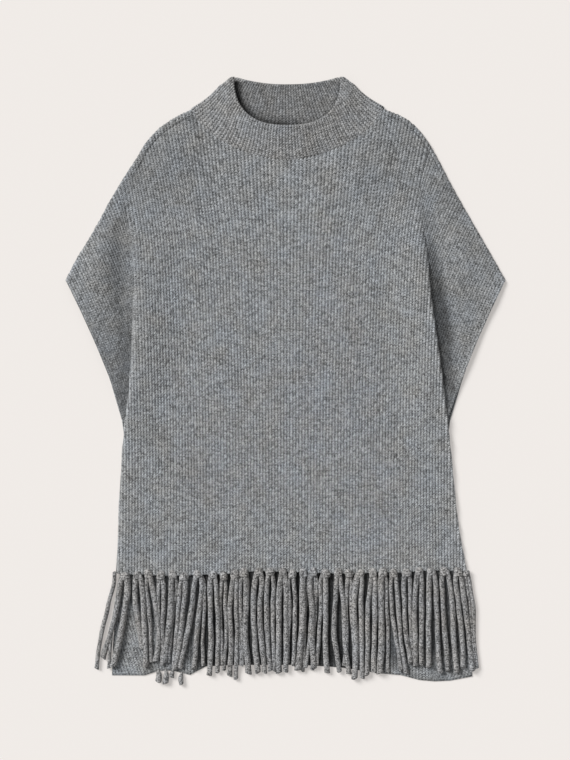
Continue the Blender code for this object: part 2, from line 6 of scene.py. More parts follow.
import bpy
import numpy as np
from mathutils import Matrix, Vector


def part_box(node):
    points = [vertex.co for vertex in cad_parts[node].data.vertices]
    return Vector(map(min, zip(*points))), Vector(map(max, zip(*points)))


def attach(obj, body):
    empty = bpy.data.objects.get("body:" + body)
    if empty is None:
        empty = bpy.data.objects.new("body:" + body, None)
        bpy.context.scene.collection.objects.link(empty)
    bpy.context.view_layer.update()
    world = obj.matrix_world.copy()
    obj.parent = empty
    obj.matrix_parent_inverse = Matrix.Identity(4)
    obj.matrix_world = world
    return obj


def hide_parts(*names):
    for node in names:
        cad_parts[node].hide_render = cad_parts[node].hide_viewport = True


bl_info = {
    "name": "Knitted Poncho Sweater",
    "version": (1, 0, 0),
    "blender": (4, 5, 0),
    "location": "3D View > Sidebar > Poncho",
    "description": "Ribbed cloth, knotted fringe and stage for a poncho sweater that lies flat",
    "category": "Mesh",
}

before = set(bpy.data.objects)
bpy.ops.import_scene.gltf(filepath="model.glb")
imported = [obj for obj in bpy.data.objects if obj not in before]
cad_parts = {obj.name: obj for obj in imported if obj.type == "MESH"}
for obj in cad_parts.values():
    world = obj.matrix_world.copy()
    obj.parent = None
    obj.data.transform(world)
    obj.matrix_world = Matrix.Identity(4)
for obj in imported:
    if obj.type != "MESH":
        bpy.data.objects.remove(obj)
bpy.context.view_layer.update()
LEFT, RIGHT = -1, 1
SIDE_NAMES = {LEFT: "left", RIGHT: "right"}

# --- sizes, in metres ---

WALL = 0.0022
BACK_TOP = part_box("back")[1][2]
BACK_MID = BACK_TOP / 2
FRONT_REST = BACK_MID + 0.0030  # height of the front's middle where it lies on the back
HEM_Y = -0.2850
TAIL_TOP = HEM_Y + 0.012  # from here down the back has close rows and full ribs
UNDERARM_Y = -0.0720
WING_TIP_Y = 0.1489
BACK_SPAN = (-0.46, 0.4095)  # the back is measured from below its hem to above its shoulders
SEAM_DEPTH = 0.0009
SEAM_WIDTH = 0.0013
SEAM_ROOMS = {LEFT: 0.0088, RIGHT: 0.0062}  # each shoulder seam lies this far inside the edge
NECK_LAP = 0.0040  # the front runs on under the neck by this much
ROLL = 0.0034  # radius of the front's turn over the shoulder
WING_RISE = 0.0050
WING_BOW = 0.021  # how far a wing's ribs bow, as a share of their length
FOLD_TUCK = 0.0100  # how far a full fold turns under itself
FOLD_FALL = 0.070  # the folds die out over this width of the body
FOLD_TOPS = {LEFT: 1.0, RIGHT: 0.62}  # share of its section over which a fold rises; less is squarer
RIM_THIN = 0.80  # the walls are this much thinner along their rims

# Ribs and the grids that carry them
MIDDLE_RIB = 60  # the number of the rib at x = 0
BACK_FIRST_RIB = 400
NECK_FIRST_RIB = 600
WING_PITCH = 0.0040
BACK_PITCH = 0.0047
RIB_SPREAD = 0.115  # the wide ribs under the neck narrow over this distance
WING_RIB_RISE = 0.9  # against the body's ribs
BACK_RIB_RISE = 0.9
NECK_RIB_RISE = 0.8
TAIL_LEAN = 0.36  # how far the ribs lean at the back's two lower corners
BODY_COLUMNS = 4  # for each rib
BACK_RIBS = 112
BACK_COLUMNS = 3
BACK_LOW_ROWS = 40
BACK_HIGH_ROWS = 22
NECK_COLUMNS = 4
NECK_FRONT_COLUMNS = 64 * NECK_COLUMNS
NECK_BACK_COLUMNS = 50 * NECK_COLUMNS
LOW_ROWS = 34
HIGH_ROWS = 124
ROW_STEPS = 160
FOLD_STEPS = 26
SEAM_STEPS = 900
WING_ROWS = 25  # as many as the body has rows above the wing's last rib
KEEP_ROWS = 4  # the inside keeps one row in this many
# Rows near the upper edge, by their distance to it
EDGE_ROOMS = np.array(
    [0.0190, 0.0172, 0.0156, 0.0140, 0.0124, 0.0108, 0.0090, 0.0072, 0.0054, 0.0038, 0.0024, 0.0012, 0.0]
)

# How dark the yarn is made in soft shade, and how light where a fold or a rim catches the light
SEAM_SHADE = 0.48
SHOULDER_SHADE = 0.11
FRINGE_SHADE = 0.84
NECK_SHADE = 0.28
# Painted shade that dims the light on the neck's upper rim and on the caps of its edges
NECK_RIM_SHADE = 0.84
NECK_CAP_SHADE = 0.60
RIM_LIGHT = 0.35  # the right armhole's rim, which is lighter over this many columns
RIM_COLUMNS = 1.6
Glow = namedtuple("Glow", "inside width strength")  # inside is how far from the fold's edge
CREST_GLOW = Glow(0.0030, 0.0036, 0.16)
UNDERARM_GLOW = Glow(0.0008, 0.0024, 0.45)
# The ribs are drawn flat on the crest beside the left wing
FLAT_CREST_X = -0.2300
FLAT_CREST_WIDTH = 0.0080

# The neck and the fringe
BACK_BEND = 2.2  # how square the dip of the neck's back is
NECK_ROLL = 0.0015  # radius of the neck's side turns at its seam
NECK_TOP_ROLL = 0.0042  # and at its upper edge
CORNER_DROP = 0.0040  # how far the upper edge rounds off at its two corners
STRAND_SIDES = 12
STRAND_RINGS = 30
STRAND_UPPER = -0.3375  # heights at which the strand table gives the upper and lower places
STRAND_LOWER = -0.3825
STRAND_STITCH = 0.0026
END_RINGS = ((0.16, 0.16), (0.08, 0.42), (-0.55, 0.60))  # a strand's lip and hollow: out, inwards
LAYER_DROP = 0.0021  # each layer of strands lies this much lower
KNOT_Z = 0.0098
KNOT_WIDE = 0.0071  # half a knot's width
KNOT_TALL = 0.0068  # half its length along the strands
KNOT_DEEP = 0.0046  # half its thickness

# The stage
FLOOR_HALF = 6.0
FLOOR_GLOW = 0.40  # share of the floor's brightness that shadows don't take
CAMERA_HEIGHT = 2.69
CAMERA_X = -0.00075
LENS_MM = 85.0
SENSOR_MM = 36.0
KEY_TILT = 50.0  # degrees from straight down
KEY_TURN = 232.0  # degrees round, so that it shines towards the lower right
KEY_SPREAD = 28.0  # degrees across, which sets how soft the shadows are

# How strongly each pattern changes the yarn's tone
Yarn = namedtuple("Yarn", "ribbed tone flecks specks fibres stitches patches bars loops slant")
RIBBED_YARN = Yarn(True, 1.17, 0.40, 0.90, 2.8, 0.70, 0.20, 0.35, 0.16, 1.3)
ROLLED_YARN = Yarn(False, 1.02, 1.7, 2.0, 2.8, 0.20, 0.20, 0.20, 0.04, 0.6)
# Painted shade in the grooves between the ribs
GROOVE_SHADE = 0.74
FLAT_GROOVE_SHADE = 0.30 * GROOVE_SHADE  # the even painted shade where the ribs are drawn flat
STRAND_TONE = 0.16
DARKEST, LIGHTEST = 0.16, 2.3  # the tone stays between these
FLECKS_SCALE = 720.0  # scales are for a pattern that is laid out in metres
FIBRES_SCALE = 1500.0
SPECKS_SCALE = 800.0
PATCHES_SCALE = 26.0
BARS_SCALE = 190.0
BARS_STRETCH = 0.28
WARM = (1.05, 1.00, 0.94)  # the yarn's colour is multiplied by these two, patch by patch
COOL = (0.96, 1.00, 1.06)
WARM_WEIGHT = 1.6
NAP_STRENGTH = 0.8
NAP_HEIGHT = 0.0007


def table(kind, *rows):
    """A table's rows with their fields named."""
    return tuple(kind(*row) for row in rows)


# The front's edges. Above the underarm each is the fold beside a wing and then, further up, the
# line that parts the body's ribs from the wing's. Tuck is how far the fold turns under itself,
# slope the width of its rise, foot the height it starts at as a share of its lift.
Edge = namedtuple("Edge", "y x lift tuck slope foot")
LEFT_EDGE = table(
    Edge,
    (-0.2850, -0.2520, 0.0010, 0.00, 0.0075, 0.00),
    (-0.2250, -0.2492, 0.0016, 0.00, 0.0075, 0.00),
    (-0.1650, -0.2465, 0.0020, 0.00, 0.0075, 0.00),
    (-0.1050, -0.2427, 0.0030, 0.05, 0.0075, 0.00),
    (-0.0720, -0.2396, 0.0044, 0.20, 0.0070, 0.00),
    (-0.0120, -0.2325, 0.0078, 0.60, 0.0065, 0.00),
    (0.0450, -0.2290, 0.0090, 0.70, 0.0070, 0.00),
    (0.0800, -0.2282, 0.0086, 0.45, 0.0080, 0.10),
    (0.1100, -0.2270, 0.0076, 0.20, 0.0085, 0.40),
    (0.1400, -0.2264, 0.0062, 0.05, 0.0090, 0.85),
    (0.1725, -0.2274, 0.0048, 0.00, 0.0090, 1.00),
    (0.2050, -0.2310, 0.0032, 0.00, 0.0090, 1.00),
    (0.2400, -0.2372, 0.0022, 0.00, 0.0090, 1.00),
    (0.2700, -0.2440, 0.0008, 0.00, 0.0090, 1.00),
    (0.3000, -0.2520, 0.0000, 0.00, 0.0090, 1.00),
    (0.4100, -0.2850, 0.0000, 0.00, 0.0090, 1.00),
)
RIGHT_EDGE = table(
    Edge,
    (-0.2850, 0.2698, 0.0010, 0.00, 0.0075, 0.00),
    (-0.2250, 0.2585, 0.0016, 0.00, 0.0075, 0.00),
    (-0.1650, 0.2515, 0.0022, 0.00, 0.0075, 0.00),
    (-0.1050, 0.2457, 0.0034, 0.10, 0.0075, 0.00),
    (-0.0720, 0.2419, 0.0048, 0.20, 0.0050, 0.00),
    (-0.0450, 0.2385, 0.0068, 0.40, 0.0042, 0.00),
    (-0.0120, 0.2346, 0.0084, 0.55, 0.0040, 0.00),
    (0.0450, 0.2271, 0.0096, 0.60, 0.0040, 0.00),
    (0.0945, 0.2199, 0.0096, 0.60, 0.0042, 0.00),
    (0.1350, 0.2147, 0.0090, 0.45, 0.0055, 0.00),
    (0.1650, 0.2126, 0.0076, 0.15, 0.0085, 0.15),
    (0.1950, 0.2102, 0.0056, 0.00, 0.0130, 0.40),
    (0.2250, 0.2052, 0.0036, 0.00, 0.0170, 0.65),
    (0.2550, 0.2012, 0.0020, 0.00, 0.0180, 0.80),
    (0.2850, 0.1998, 0.0008, 0.00, 0.0150, 1.00),
    (0.3100, 0.2050, 0.0003, 0.00, 0.0110, 1.00),
    (0.3400, 0.2140, 0.0000, 0.00, 0.0090, 1.00),
    (0.4100, 0.2380, 0.0000, 0.00, 0.0090, 1.00),
)

EDGES = {LEFT: LEFT_EDGE, RIGHT: RIGHT_EDGE}

# Degrees between a wing's ribs and the garment's middle line, by the height they start at
Lean = namedtuple("Lean", "y left right")
LEANS = table(
    Lean,
    (-0.0720, 21.9, 21.9),
    (0.0000, 21.5, 22.5),
    (0.1000, 21.5, 23.0),
    (0.1500, 20.0, 23.0),
    (0.1900, 17.0, 22.5),
    (0.2350, 13.5, 20.5),
    (0.2850, 13.5, 15.0),
)

# The shaded hollow beside each fold: its line, its half width and how dark it is
Hollow = namedtuple("Hollow", "y x width depth")
LEFT_HOLLOW = table(
    Hollow,
    (-0.0720, -0.2450, 0.0120, 0.14),
    (-0.0300, -0.2430, 0.0120, 0.20),
    (0.0300, -0.2400, 0.0120, 0.20),
    (0.0600, -0.2390, 0.0120, 0.18),
    (0.0900, -0.2430, 0.0130, 0.12),
    (0.1230, -0.2480, 0.0130, 0.16),
    (0.1775, -0.2495, 0.0135, 0.18),
    (0.2100, -0.2480, 0.0105, 0.16),
    (0.2325, -0.2440, 0.0105, 0.16),
    (0.2625, -0.2378, 0.0060, 0.10),
    (0.2900, -0.2320, 0.0050, 0.00),
)
RIGHT_HOLLOW = table(
    Hollow,
    (-0.0720, 0.2455, 0.0110, 0.30),
    (-0.0450, 0.2470, 0.0120, 0.38),
    (-0.0225, 0.2455, 0.0130, 0.42),
    (0.0000, 0.2420, 0.0128, 0.55),
    (0.0450, 0.2382, 0.0138, 0.64),
    (0.0675, 0.2366, 0.0145, 0.68),
    (0.0900, 0.2336, 0.0145, 0.68),
    (0.1125, 0.2304, 0.0138, 0.68),
    (0.1350, 0.2280, 0.0125, 0.66),
    (0.1575, 0.2234, 0.0115, 0.56),
    (0.1800, 0.2192, 0.0102, 0.46),
    (0.2025, 0.2130, 0.0098, 0.36),
    (0.2250, 0.2076, 0.0078, 0.30),
    (0.2475, 0.2038, 0.0056, 0.22),
    (0.2850, 0.1973, 0.0045, 0.00),
)
HOLLOWS = {LEFT: LEFT_HOLLOW, RIGHT: RIGHT_HOLLOW}

# Painted shade: how much darker a wing lies than the body
Dim = namedtuple("Dim", "y left right")
WING_DIMS = table(
    Dim,
    (-0.0720, 0.24, 0.02),
    (0.0000, 0.24, 0.02),
    (0.0450, 0.24, 0.03),
    (0.0900, 0.22, 0.05),
    (0.1350, 0.22, 0.07),
    (0.1800, 0.22, 0.07),
    (0.2100, 0.14, 0.05),
    (0.2450, 0.06, 0.06),
    (0.2900, 0.02, 0.02),
)

# Soft creases: a line in plan, the height of its ridge (a trough is below 0) and its half width
Crease = namedtuple("Crease", "x0 y0 x1 y1 height width")
CREASES = table(
    Crease,
    (-0.2530, 0.1000, -0.2410, 0.2450, -0.0018, 0.010),
    (-0.2200, 0.1100, -0.2260, 0.2400, 0.0010, 0.014),
    (0.2030, 0.1750, 0.1930, 0.2700, 0.0014, 0.016),
    (-0.1700, -0.0900, -0.2000, 0.1100, -0.0012, 0.022),
    (0.1750, -0.1100, 0.1600, 0.1500, -0.0014, 0.024),
    (-0.0700, -0.1900, -0.1050, 0.0400, 0.0010, 0.030),
    (0.0900, -0.2400, 0.1150, -0.0400, 0.0010, 0.028),
    (0.0200, 0.0500, 0.0050, 0.2600, 0.0009, 0.034),
    (-0.0900, 0.1300, -0.1150, 0.3000, -0.0010, 0.026),
    (0.0950, 0.1600, 0.1200, 0.3050, -0.0010, 0.026),
)

# Width of a rib in the middle of the front and at its sides
Pitch = namedtuple("Pitch", "y middle side")
PITCHES = table(
    Pitch,
    (-0.2850, 0.00446, 0.00446),
    (-0.1000, 0.00450, 0.00440),
    (0.0000, 0.00458, 0.00438),
    (0.0900, 0.00474, 0.00434),
    (0.1500, 0.00487, 0.00434),
    (0.2100, 0.00506, 0.00436),
    (0.2700, 0.00549, 0.00442),
    (0.3225, 0.00584, 0.00466),
    (0.4100, 0.00640, 0.00520),
)

# The shoulders' edges, from the neck out to the wing tips
Shoulder = namedtuple("Shoulder", "y left right")
SHOULDERS = table(
    Shoulder,
    (0.4050, -0.1403, 0.1473),
    (0.3930, -0.1640, 0.1760),
    (0.3780, -0.1868, 0.1955),
    (0.3600, -0.2048, 0.2105),
    (0.3300, -0.2240, 0.2285),
    (0.3000, -0.2435, 0.2440),
    (0.2700, -0.2618, 0.2603),
    (0.2400, -0.2780, 0.2775),
    (0.2100, -0.2950, 0.2948),
    (0.1800, -0.3135, 0.3120),
    (0.1490, -0.3293, 0.3293),
)

# The back's two sides, from its hem up to the wing tips
Side = namedtuple("Side", "y left right")
BACK_SIDES = table(
    Side,
    (-0.4425, -0.2600, 0.2798),
    (-0.3900, -0.2582, 0.2785),
    (-0.3600, -0.2555, 0.2770),
    (-0.3300, -0.2500, 0.2750),
    (-0.2850, -0.2480, 0.2710),
    (-0.2250, -0.2480, 0.2595),
    (-0.1650, -0.2475, 0.2525),
    (-0.1050, -0.2437, 0.2467),
    (-0.0720, -0.2418, 0.2435),
    (0.0000, -0.2628, 0.2650),
    (0.0750, -0.2892, 0.2912),
    (0.1150, -0.3080, 0.3095),
    (0.1490, -0.3293, 0.3293),
)

Hem = namedtuple("Hem", "x y")
BACK_HEM = table(
    Hem,
    (-0.2600, -0.4425),
    (-0.2108, -0.4425),
    (-0.1910, -0.4358),
    (-0.1700, -0.4352),
    (-0.1430, -0.4418),
    (-0.1190, -0.4290),
    (-0.0680, -0.4268),
    (0.0220, -0.4268),
    (0.0820, -0.4305),
    (0.1420, -0.4395),
    (0.1720, -0.4418),
    (0.2000, -0.4493),
    (0.2230, -0.4515),
    (0.2468, -0.4505),
    (0.2798, -0.4440),
)

FRONT_HEM = table(
    Hem,
    (-0.2602, -0.2880),
    (-0.2452, -0.2904),
    (-0.2182, -0.2913),
    (-0.1613, -0.2925),
    (-0.1283, -0.2910),
    (-0.0848, -0.2898),
    (-0.0607, -0.2868),
    (-0.0008, -0.2865),
    (0.0668, -0.2889),
    (0.1118, -0.2892),
    (0.1418, -0.2871),
    (0.1718, -0.2883),
    (0.1943, -0.2859),
    (0.2467, -0.2856),
    (0.2707, -0.2865),
)

# The neck's rings, from its seam at step 0 to its upper edge: the places of its two side turns, how
# far its front and back dip between them, how square the front's dip is, and its height in the middle
Ring = namedtuple("Ring", "step left_x left_y right_x right_y front_depth back_depth bend height")
NECK_RINGS = table(
    Ring,
    (0, -0.1390, 0.4050, 0.1458, 0.4073, 0.0773, 0.0308, 1.65, 0.0045),
    (1, -0.1193, 0.4178, 0.1253, 0.4193, 0.0765, 0.0255, 1.90, 0.0078),
    (2, -0.1043, 0.4305, 0.1095, 0.4313, 0.0750, 0.0195, 2.10, 0.0108),
    (3, -0.0938, 0.4418, 0.0983, 0.4433, 0.0743, 0.0143, 2.35, 0.0136),
    (4, -0.0800, 0.4538, 0.0855, 0.4538, 0.0747, 0.0120, 2.50, 0.0158),
)

# The strands: their x at the hem, at two heights and at the tip, the y where they end, their width
# and their layer; layer 0 lies on top
Strand = namedtuple("Strand", "root upper lower tip end width layer")
STRANDS = table(
    Strand,
    (-0.2560, -0.2652, -0.2762, -0.2828, -0.4320, 0.0064, 0),
    (-0.2470, -0.2535, -0.2610, -0.2645, -0.4305, 0.0055, 2),
    (-0.2452, -0.2520, -0.2628, -0.2735, -0.4160, 0.0080, 1),
    (-0.2364, -0.2395, -0.2467, -0.2581, -0.4275, 0.0095, 0),
    (-0.2243, -0.2240, -0.2167, -0.2137, -0.4020, 0.0084, 1),
    (-0.2162, -0.2125, -0.2105, -0.2084, -0.4275, 0.0084, 0),
    (-0.2078, -0.2048, -0.2018, -0.2010, -0.4215, 0.0063, 1),
    (-0.2010, -0.1943, -0.1889, -0.1943, -0.4200, 0.0078, 0),
    (-0.1890, -0.1904, -0.1875, -0.1845, -0.4260, 0.0063, 2),
    (-0.1833, -0.1825, -0.1844, -0.1814, -0.4230, 0.0072, 1),
    (-0.1703, -0.1710, -0.1760, -0.1805, -0.4200, 0.0093, 0),
    (-0.1636, -0.1673, -0.1715, -0.1750, -0.4230, 0.0057, 2),
    (-0.1560, -0.1600, -0.1634, -0.1666, -0.4320, 0.0067, 1),
    (-0.1499, -0.1525, -0.1568, -0.1651, -0.4320, 0.0078, 0),
    (-0.1353, -0.1395, -0.1477, -0.1574, -0.4290, 0.0081, 0),
    (-0.1259, -0.1280, -0.1328, -0.1368, -0.4320, 0.0078, 1),
    (-0.1229, -0.1214, -0.1237, -0.1230, -0.4260, 0.0054, 2),
    (-0.1122, -0.1125, -0.1111, -0.1141, -0.4414, 0.0080, 0),
    (-0.1049, -0.1019, -0.1005, -0.1020, -0.4358, 0.0071, 0),
    (-0.0953, -0.0978, -0.0960, -0.0945, -0.4260, 0.0057, 2),
    (-0.0899, -0.0899, -0.0886, -0.0922, -0.4335, 0.0057, 1),
    (-0.0781, -0.0833, -0.0810, -0.0837, -0.4425, 0.0076, 0),
    (-0.0735, -0.0738, -0.0725, -0.0742, -0.4470, 0.0065, 0),
    (-0.0680, -0.0689, -0.0685, -0.0660, -0.4275, 0.0057, 2),
    (-0.0659, -0.0674, -0.0650, -0.0638, -0.4260, 0.0060, 2),
    (-0.0593, -0.0590, -0.0600, -0.0550, -0.4388, 0.0087, 0),
    (-0.0442, -0.0481, -0.0464, -0.0413, -0.4373, 0.0083, 0),
    (-0.0360, -0.0385, -0.0363, -0.0312, -0.4373, 0.0080, 0),
    (-0.0262, -0.0283, -0.0270, -0.0223, -0.4343, 0.0075, 0),
    (-0.0189, -0.0189, -0.0185, -0.0162, -0.4350, 0.0066, 1),
    (-0.0067, -0.0100, -0.0100, -0.0100, -0.4380, 0.0086, 0),
    (-0.0005, 0.0008, 0.0013, 0.0002, -0.4350, 0.0080, 0),
    (0.0057, 0.0065, 0.0040, 0.0037, -0.4230, 0.0060, 2),
    (0.0118, 0.0145, 0.0135, 0.0118, -0.4260, 0.0063, 0),
    (0.0261, 0.0261, 0.0238, 0.0193, -0.4335, 0.0099, 0),
    (0.0293, 0.0302, 0.0283, 0.0262, -0.4350, 0.0051, 2),
    (0.0370, 0.0396, 0.0398, 0.0425, -0.4305, 0.0089, 0),
    (0.0437, 0.0405, 0.0365, 0.0302, -0.4290, 0.0060, 1),
    (0.0460, 0.0450, 0.0420, 0.0400, -0.4339, 0.0054, 2),
    (0.0532, 0.0531, 0.0500, 0.0465, -0.4260, 0.0060, 1),
    (0.0602, 0.0602, 0.0595, 0.0622, -0.4380, 0.0080, 0),
    (0.0765, 0.0741, 0.0730, 0.0807, -0.4350, 0.0076, 0),
    (0.0820, 0.0873, 0.0883, 0.0950, -0.4395, 0.0074, 0),
    (0.0928, 0.0907, 0.0915, 0.0885, -0.4260, 0.0066, 2),
    (0.0983, 0.0980, 0.1013, 0.1072, -0.4260, 0.0054, 2),
    (0.1065, 0.1026, 0.1052, 0.1033, -0.4455, 0.0092, 0),
    (0.1140, 0.1130, 0.1138, 0.1148, -0.4455, 0.0076, 0),
    (0.1283, 0.1235, 0.1232, 0.1215, -0.4410, 0.0072, 0),
    (0.1338, 0.1335, 0.1330, 0.1318, -0.4365, 0.0078, 0),
    (0.1433, 0.1433, 0.1440, 0.1407, -0.4380, 0.0096, 0),
    (0.1502, 0.1515, 0.1535, 0.1530, -0.4365, 0.0057, 1),
    (0.1583, 0.1588, 0.1647, 0.1733, -0.4350, 0.0061, 0),
    (0.1652, 0.1685, 0.1718, 0.1802, -0.4373, 0.0067, 0),
    (0.1775, 0.1780, 0.1805, 0.1877, -0.4230, 0.0071, 0),
    (0.1857, 0.1863, 0.1885, 0.1903, -0.4200, 0.0063, 1),
    (0.1965, 0.1933, 0.1938, 0.1946, -0.4275, 0.0080, 0),
    (0.2033, 0.2035, 0.2033, 0.2033, -0.4245, 0.0076, 0),
    (0.2150, 0.2148, 0.2140, 0.2143, -0.4290, 0.0081, 0),
    (0.2232, 0.2258, 0.2275, 0.2313, -0.4365, 0.0075, 0),
    (0.2340, 0.2360, 0.2388, 0.2430, -0.4350, 0.0075, 0),
    (0.2436, 0.2495, 0.2513, 0.2565, -0.4350, 0.0081, 0),
    (0.2545, 0.2593, 0.2638, 0.2661, -0.4290, 0.0078, 0),
    (0.2627, 0.2682, 0.2741, 0.2797, -0.4335, 0.0078, 0),
    (0.2698, 0.2755, 0.2790, 0.2828, -0.4305, 0.0054, 1),
    (0.2743, 0.2812, 0.2822, 0.2865, -0.4305, 0.0057, 1),
)

# The knots along the front's hem; those at its two ends are smaller
Knot = namedtuple("Knot", "x y size", defaults=(1.0,))
KNOTS = table(
    Knot,
    (-0.2556, -0.2885, 0.46),
    (-0.2399, -0.2918),
    (-0.2219, -0.2907),
    (-0.2050, -0.2886),
    (-0.1863, -0.2904),
    (-0.1688, -0.2892),
    (-0.1514, -0.2925),
    (-0.1319, -0.2886),
    (-0.1085, -0.2898),
    (-0.0925, -0.2919),
    (-0.0759, -0.2883),
    (-0.0622, -0.2868),
    (-0.0399, -0.2862),
    (-0.0230, -0.2850),
    (-0.0039, -0.2850),
    (0.0103, -0.2886),
    (0.0268, -0.2868),
    (0.0410, -0.2856),
    (0.0598, -0.2874),
    (0.0788, -0.2856),
    (0.0950, -0.2874),
    (0.1123, -0.2880),
    (0.1310, -0.2865),
    (0.1457, -0.2856),
    (0.1615, -0.2871),
    (0.1813, -0.2865),
    (0.2001, -0.2841),
    (0.2173, -0.2847),
    (0.2368, -0.2850),
    (0.2576, -0.2853),
    (0.2702, -0.2871, 0.60),
)

# Ends that come out from under the back's hem
Tail = namedtuple("Tail", "x end width")
TAILS = table(
    Tail,
    (-0.1899, -0.4503, 0.0093),
    (-0.1790, -0.4539, 0.0090),
    (-0.1696, -0.4449, 0.0069),
    (-0.1561, -0.4545, 0.0075),
)

# Down to here the fringe shades the back
Cover = namedtuple("Cover", "x y")
FRINGE_COVER = table(
    Cover,
    (-0.262, -0.360),
    (-0.245, -0.330),
    (-0.180, -0.400),
    (-0.120, -0.450),
    (0.135, -0.450),
    (0.200, -0.430),
    (0.290, -0.420),
)


COLOUR_FIELD = {"subtype": "COLOR", "size": 3, "min": 0.0, "max": 1.0}
LENGTH_FIELD = {"subtype": "DISTANCE", "unit": "LENGTH"}


class PonchoSettings(bpy.types.PropertyGroup):
    """Sizes and colours of the knit and the stage."""

    knit_colour: bpy.props.FloatVectorProperty(
        name="Knit colour",
        description="Middle colour of the panels' melange yarn",
        default=(0.289, 0.300, 0.308),
        **COLOUR_FIELD,
    )
    neck_colour: bpy.props.FloatVectorProperty(
        name="Neck colour",
        description="Middle colour of the neck's yarn",
        default=(0.296, 0.300, 0.302),
        **COLOUR_FIELD,
    )
    fringe_colour: bpy.props.FloatVectorProperty(
        name="Fringe colour",
        description="Middle colour of the fringe's rolled strips",
        default=(0.264, 0.263, 0.262),
        **COLOUR_FIELD,
    )
    floor_colour: bpy.props.FloatVectorProperty(
        name="Floor colour",
        description="Colour of the floor under the garment",
        default=(0.879, 0.839, 0.807),
        **COLOUR_FIELD,
    )
    rib_rise: bpy.props.FloatProperty(
        name="Rib rise",
        description="Height of a rib over the grooves beside it",
        default=0.0012,
        **LENGTH_FIELD,
    )
    stitch_length: bpy.props.FloatProperty(
        name="Stitch length",
        description="Length of one knit stitch along its rib",
        default=0.0036,
        **LENGTH_FIELD,
    )
    key_light: bpy.props.FloatProperty(
        name="Key light",
        description="Strength of the wide soft light from the upper left",
        default=3.28,
    )
    sky_light: bpy.props.FloatProperty(
        name="Sky light",
        description="Strength of the even light from all round",
        default=0.32,
    )


# --- curves and sections ---


def smooth(share):
    """A soft step from 0 to 1 as share goes from 0 to 1."""
    share = np.clip(share, 0.0, 1.0)
    return share * share * (3 - 2 * share)


def bell(off, width):
    """1 at the middle, falling away over the width on both sides."""
    return np.exp(-((off / width) ** 2))


def rib_wave(rib):
    """1 on a rib's crest and 0 in the grooves beside it."""
    return 0.5 + 0.5 * np.cos(2 * math.pi * rib)


def unit(vectors):
    """Rows of vectors at length 1."""
    return vectors / np.linalg.norm(vectors, axis=1)[:, None]


def hermite(keys, values, at):
    """A smooth cubic line through the values, flat beyond the first and last key."""
    slopes = np.gradient(values, keys)
    at = np.clip(np.asarray(at, float), keys[0], keys[-1])
    i = np.clip(np.searchsorted(keys, at) - 1, 0, len(keys) - 2)
    step = keys[i + 1] - keys[i]
    t = (at - keys[i]) / step
    return (
        (2 * t**3 - 3 * t**2 + 1) * values[i]
        + (t**3 - 2 * t**2 + t) * step * slopes[i]
        + (3 * t**2 - 2 * t**3) * values[i + 1]
        + (t**3 - t**2) * step * slopes[i + 1]
    )


def columns_of(rows, key, name):
    """Two columns of a table as arrays, in the order of the first."""
    rows = sorted(rows, key=lambda row: getattr(row, key))
    return [np.array([getattr(row, column) for row in rows], float) for column in (key, name)]


def curve(rows, name, at, key="y"):
    """A smooth line through the named column of a table, against its key column."""
    return hermite(*columns_of(rows, key, name), at)


def curve_straight(rows, name, at, key="y"):
    """The same with straight lines between the rows."""
    return np.interp(at, *columns_of(rows, key, name))


def front_hem(x):
    """The y of the front's hem."""
    return curve(FRONT_HEM, "y", x, "x")


def spread(line, count):
    """count + 1 points at even distances along a line of points."""
    lengths = np.r_[0, np.cumsum(np.linalg.norm(np.diff(line, axis=0), axis=1))]
    at = np.linspace(0, lengths[-1], count + 1)
    return np.stack([np.interp(at, lengths, axis) for axis in line.T], 1)


def every(count, step):
    """One number in each step from 0 to count - 1, with the last."""
    return np.unique(np.r_[np.arange(0, count, step), count - 1])


def shoulder_line(side, inset=0.0):
    """The shoulder's edge from the neck to the wing tip, moved inwards by inset."""
    ys = np.linspace(SHOULDERS[0].y, SHOULDERS[-1].y, 60)
    line = np.stack([curve(SHOULDERS, SIDE_NAMES[side], ys), ys], 1)
    along = np.gradient(line, axis=0)
    inwards = np.stack([along[:, 1], -along[:, 0]], 1) * side
    return line + unit(inwards) * inset


def ring_at(step):
    """The neck's ring at any step between those of the table."""
    return Ring(*[float(curve(NECK_RINGS, name, step, key="step")) for name in Ring._fields])


def neck_edge(ring, share, back=False):
    """Points of a neck ring in plan; share runs from -1 at the left fold to 1 at the right."""
    x = ring.left_x + (ring.right_x - ring.left_x) * (share + 1) / 2
    fold_y = ring.left_y + (ring.right_y - ring.left_y) * (share + 1) / 2
    depth = ring.back_depth if back else ring.front_depth
    if back:
        drop = 1 - np.abs(share) ** BACK_BEND
    else:
        drop = np.clip(1 - np.abs(share) ** ring.bend, 0, 1) ** (1 / ring.bend)
    return np.stack([x, fold_y - depth * drop], 1)


def top_edge(back, inset, gap):
    """A panel's upper edge from wing tip to wing tip, and the places where its neck seam ends."""
    share = -np.cos(np.linspace(0, math.pi, ROW_STEPS))
    neck = neck_edge(NECK_RINGS[0], share, back)
    along = np.gradient(neck, axis=0)
    out = unit(np.stack([along[:, 1], -along[:, 0]], 1))
    neck = neck + out * (gap + 0.0016 * smooth((np.abs(share) - 0.93) / 0.06))[:, None]
    # Points that double back at the two ends are left out
    neck = neck[neck[:, 0] > np.r_[-9, np.maximum.accumulate(neck[:, 0])[:-1]]]
    left, right = shoulder_line(LEFT, inset)[::-1], shoulder_line(RIGHT, inset)
    left = left[left[:, 0] < neck[0, 0] - 0.002]
    right = right[right[:, 0] > neck[-1, 0] + 0.002]
    return np.concatenate([left, neck, right]), (left[-1, 0], right[0, 0])


# --- cloth meshes ---


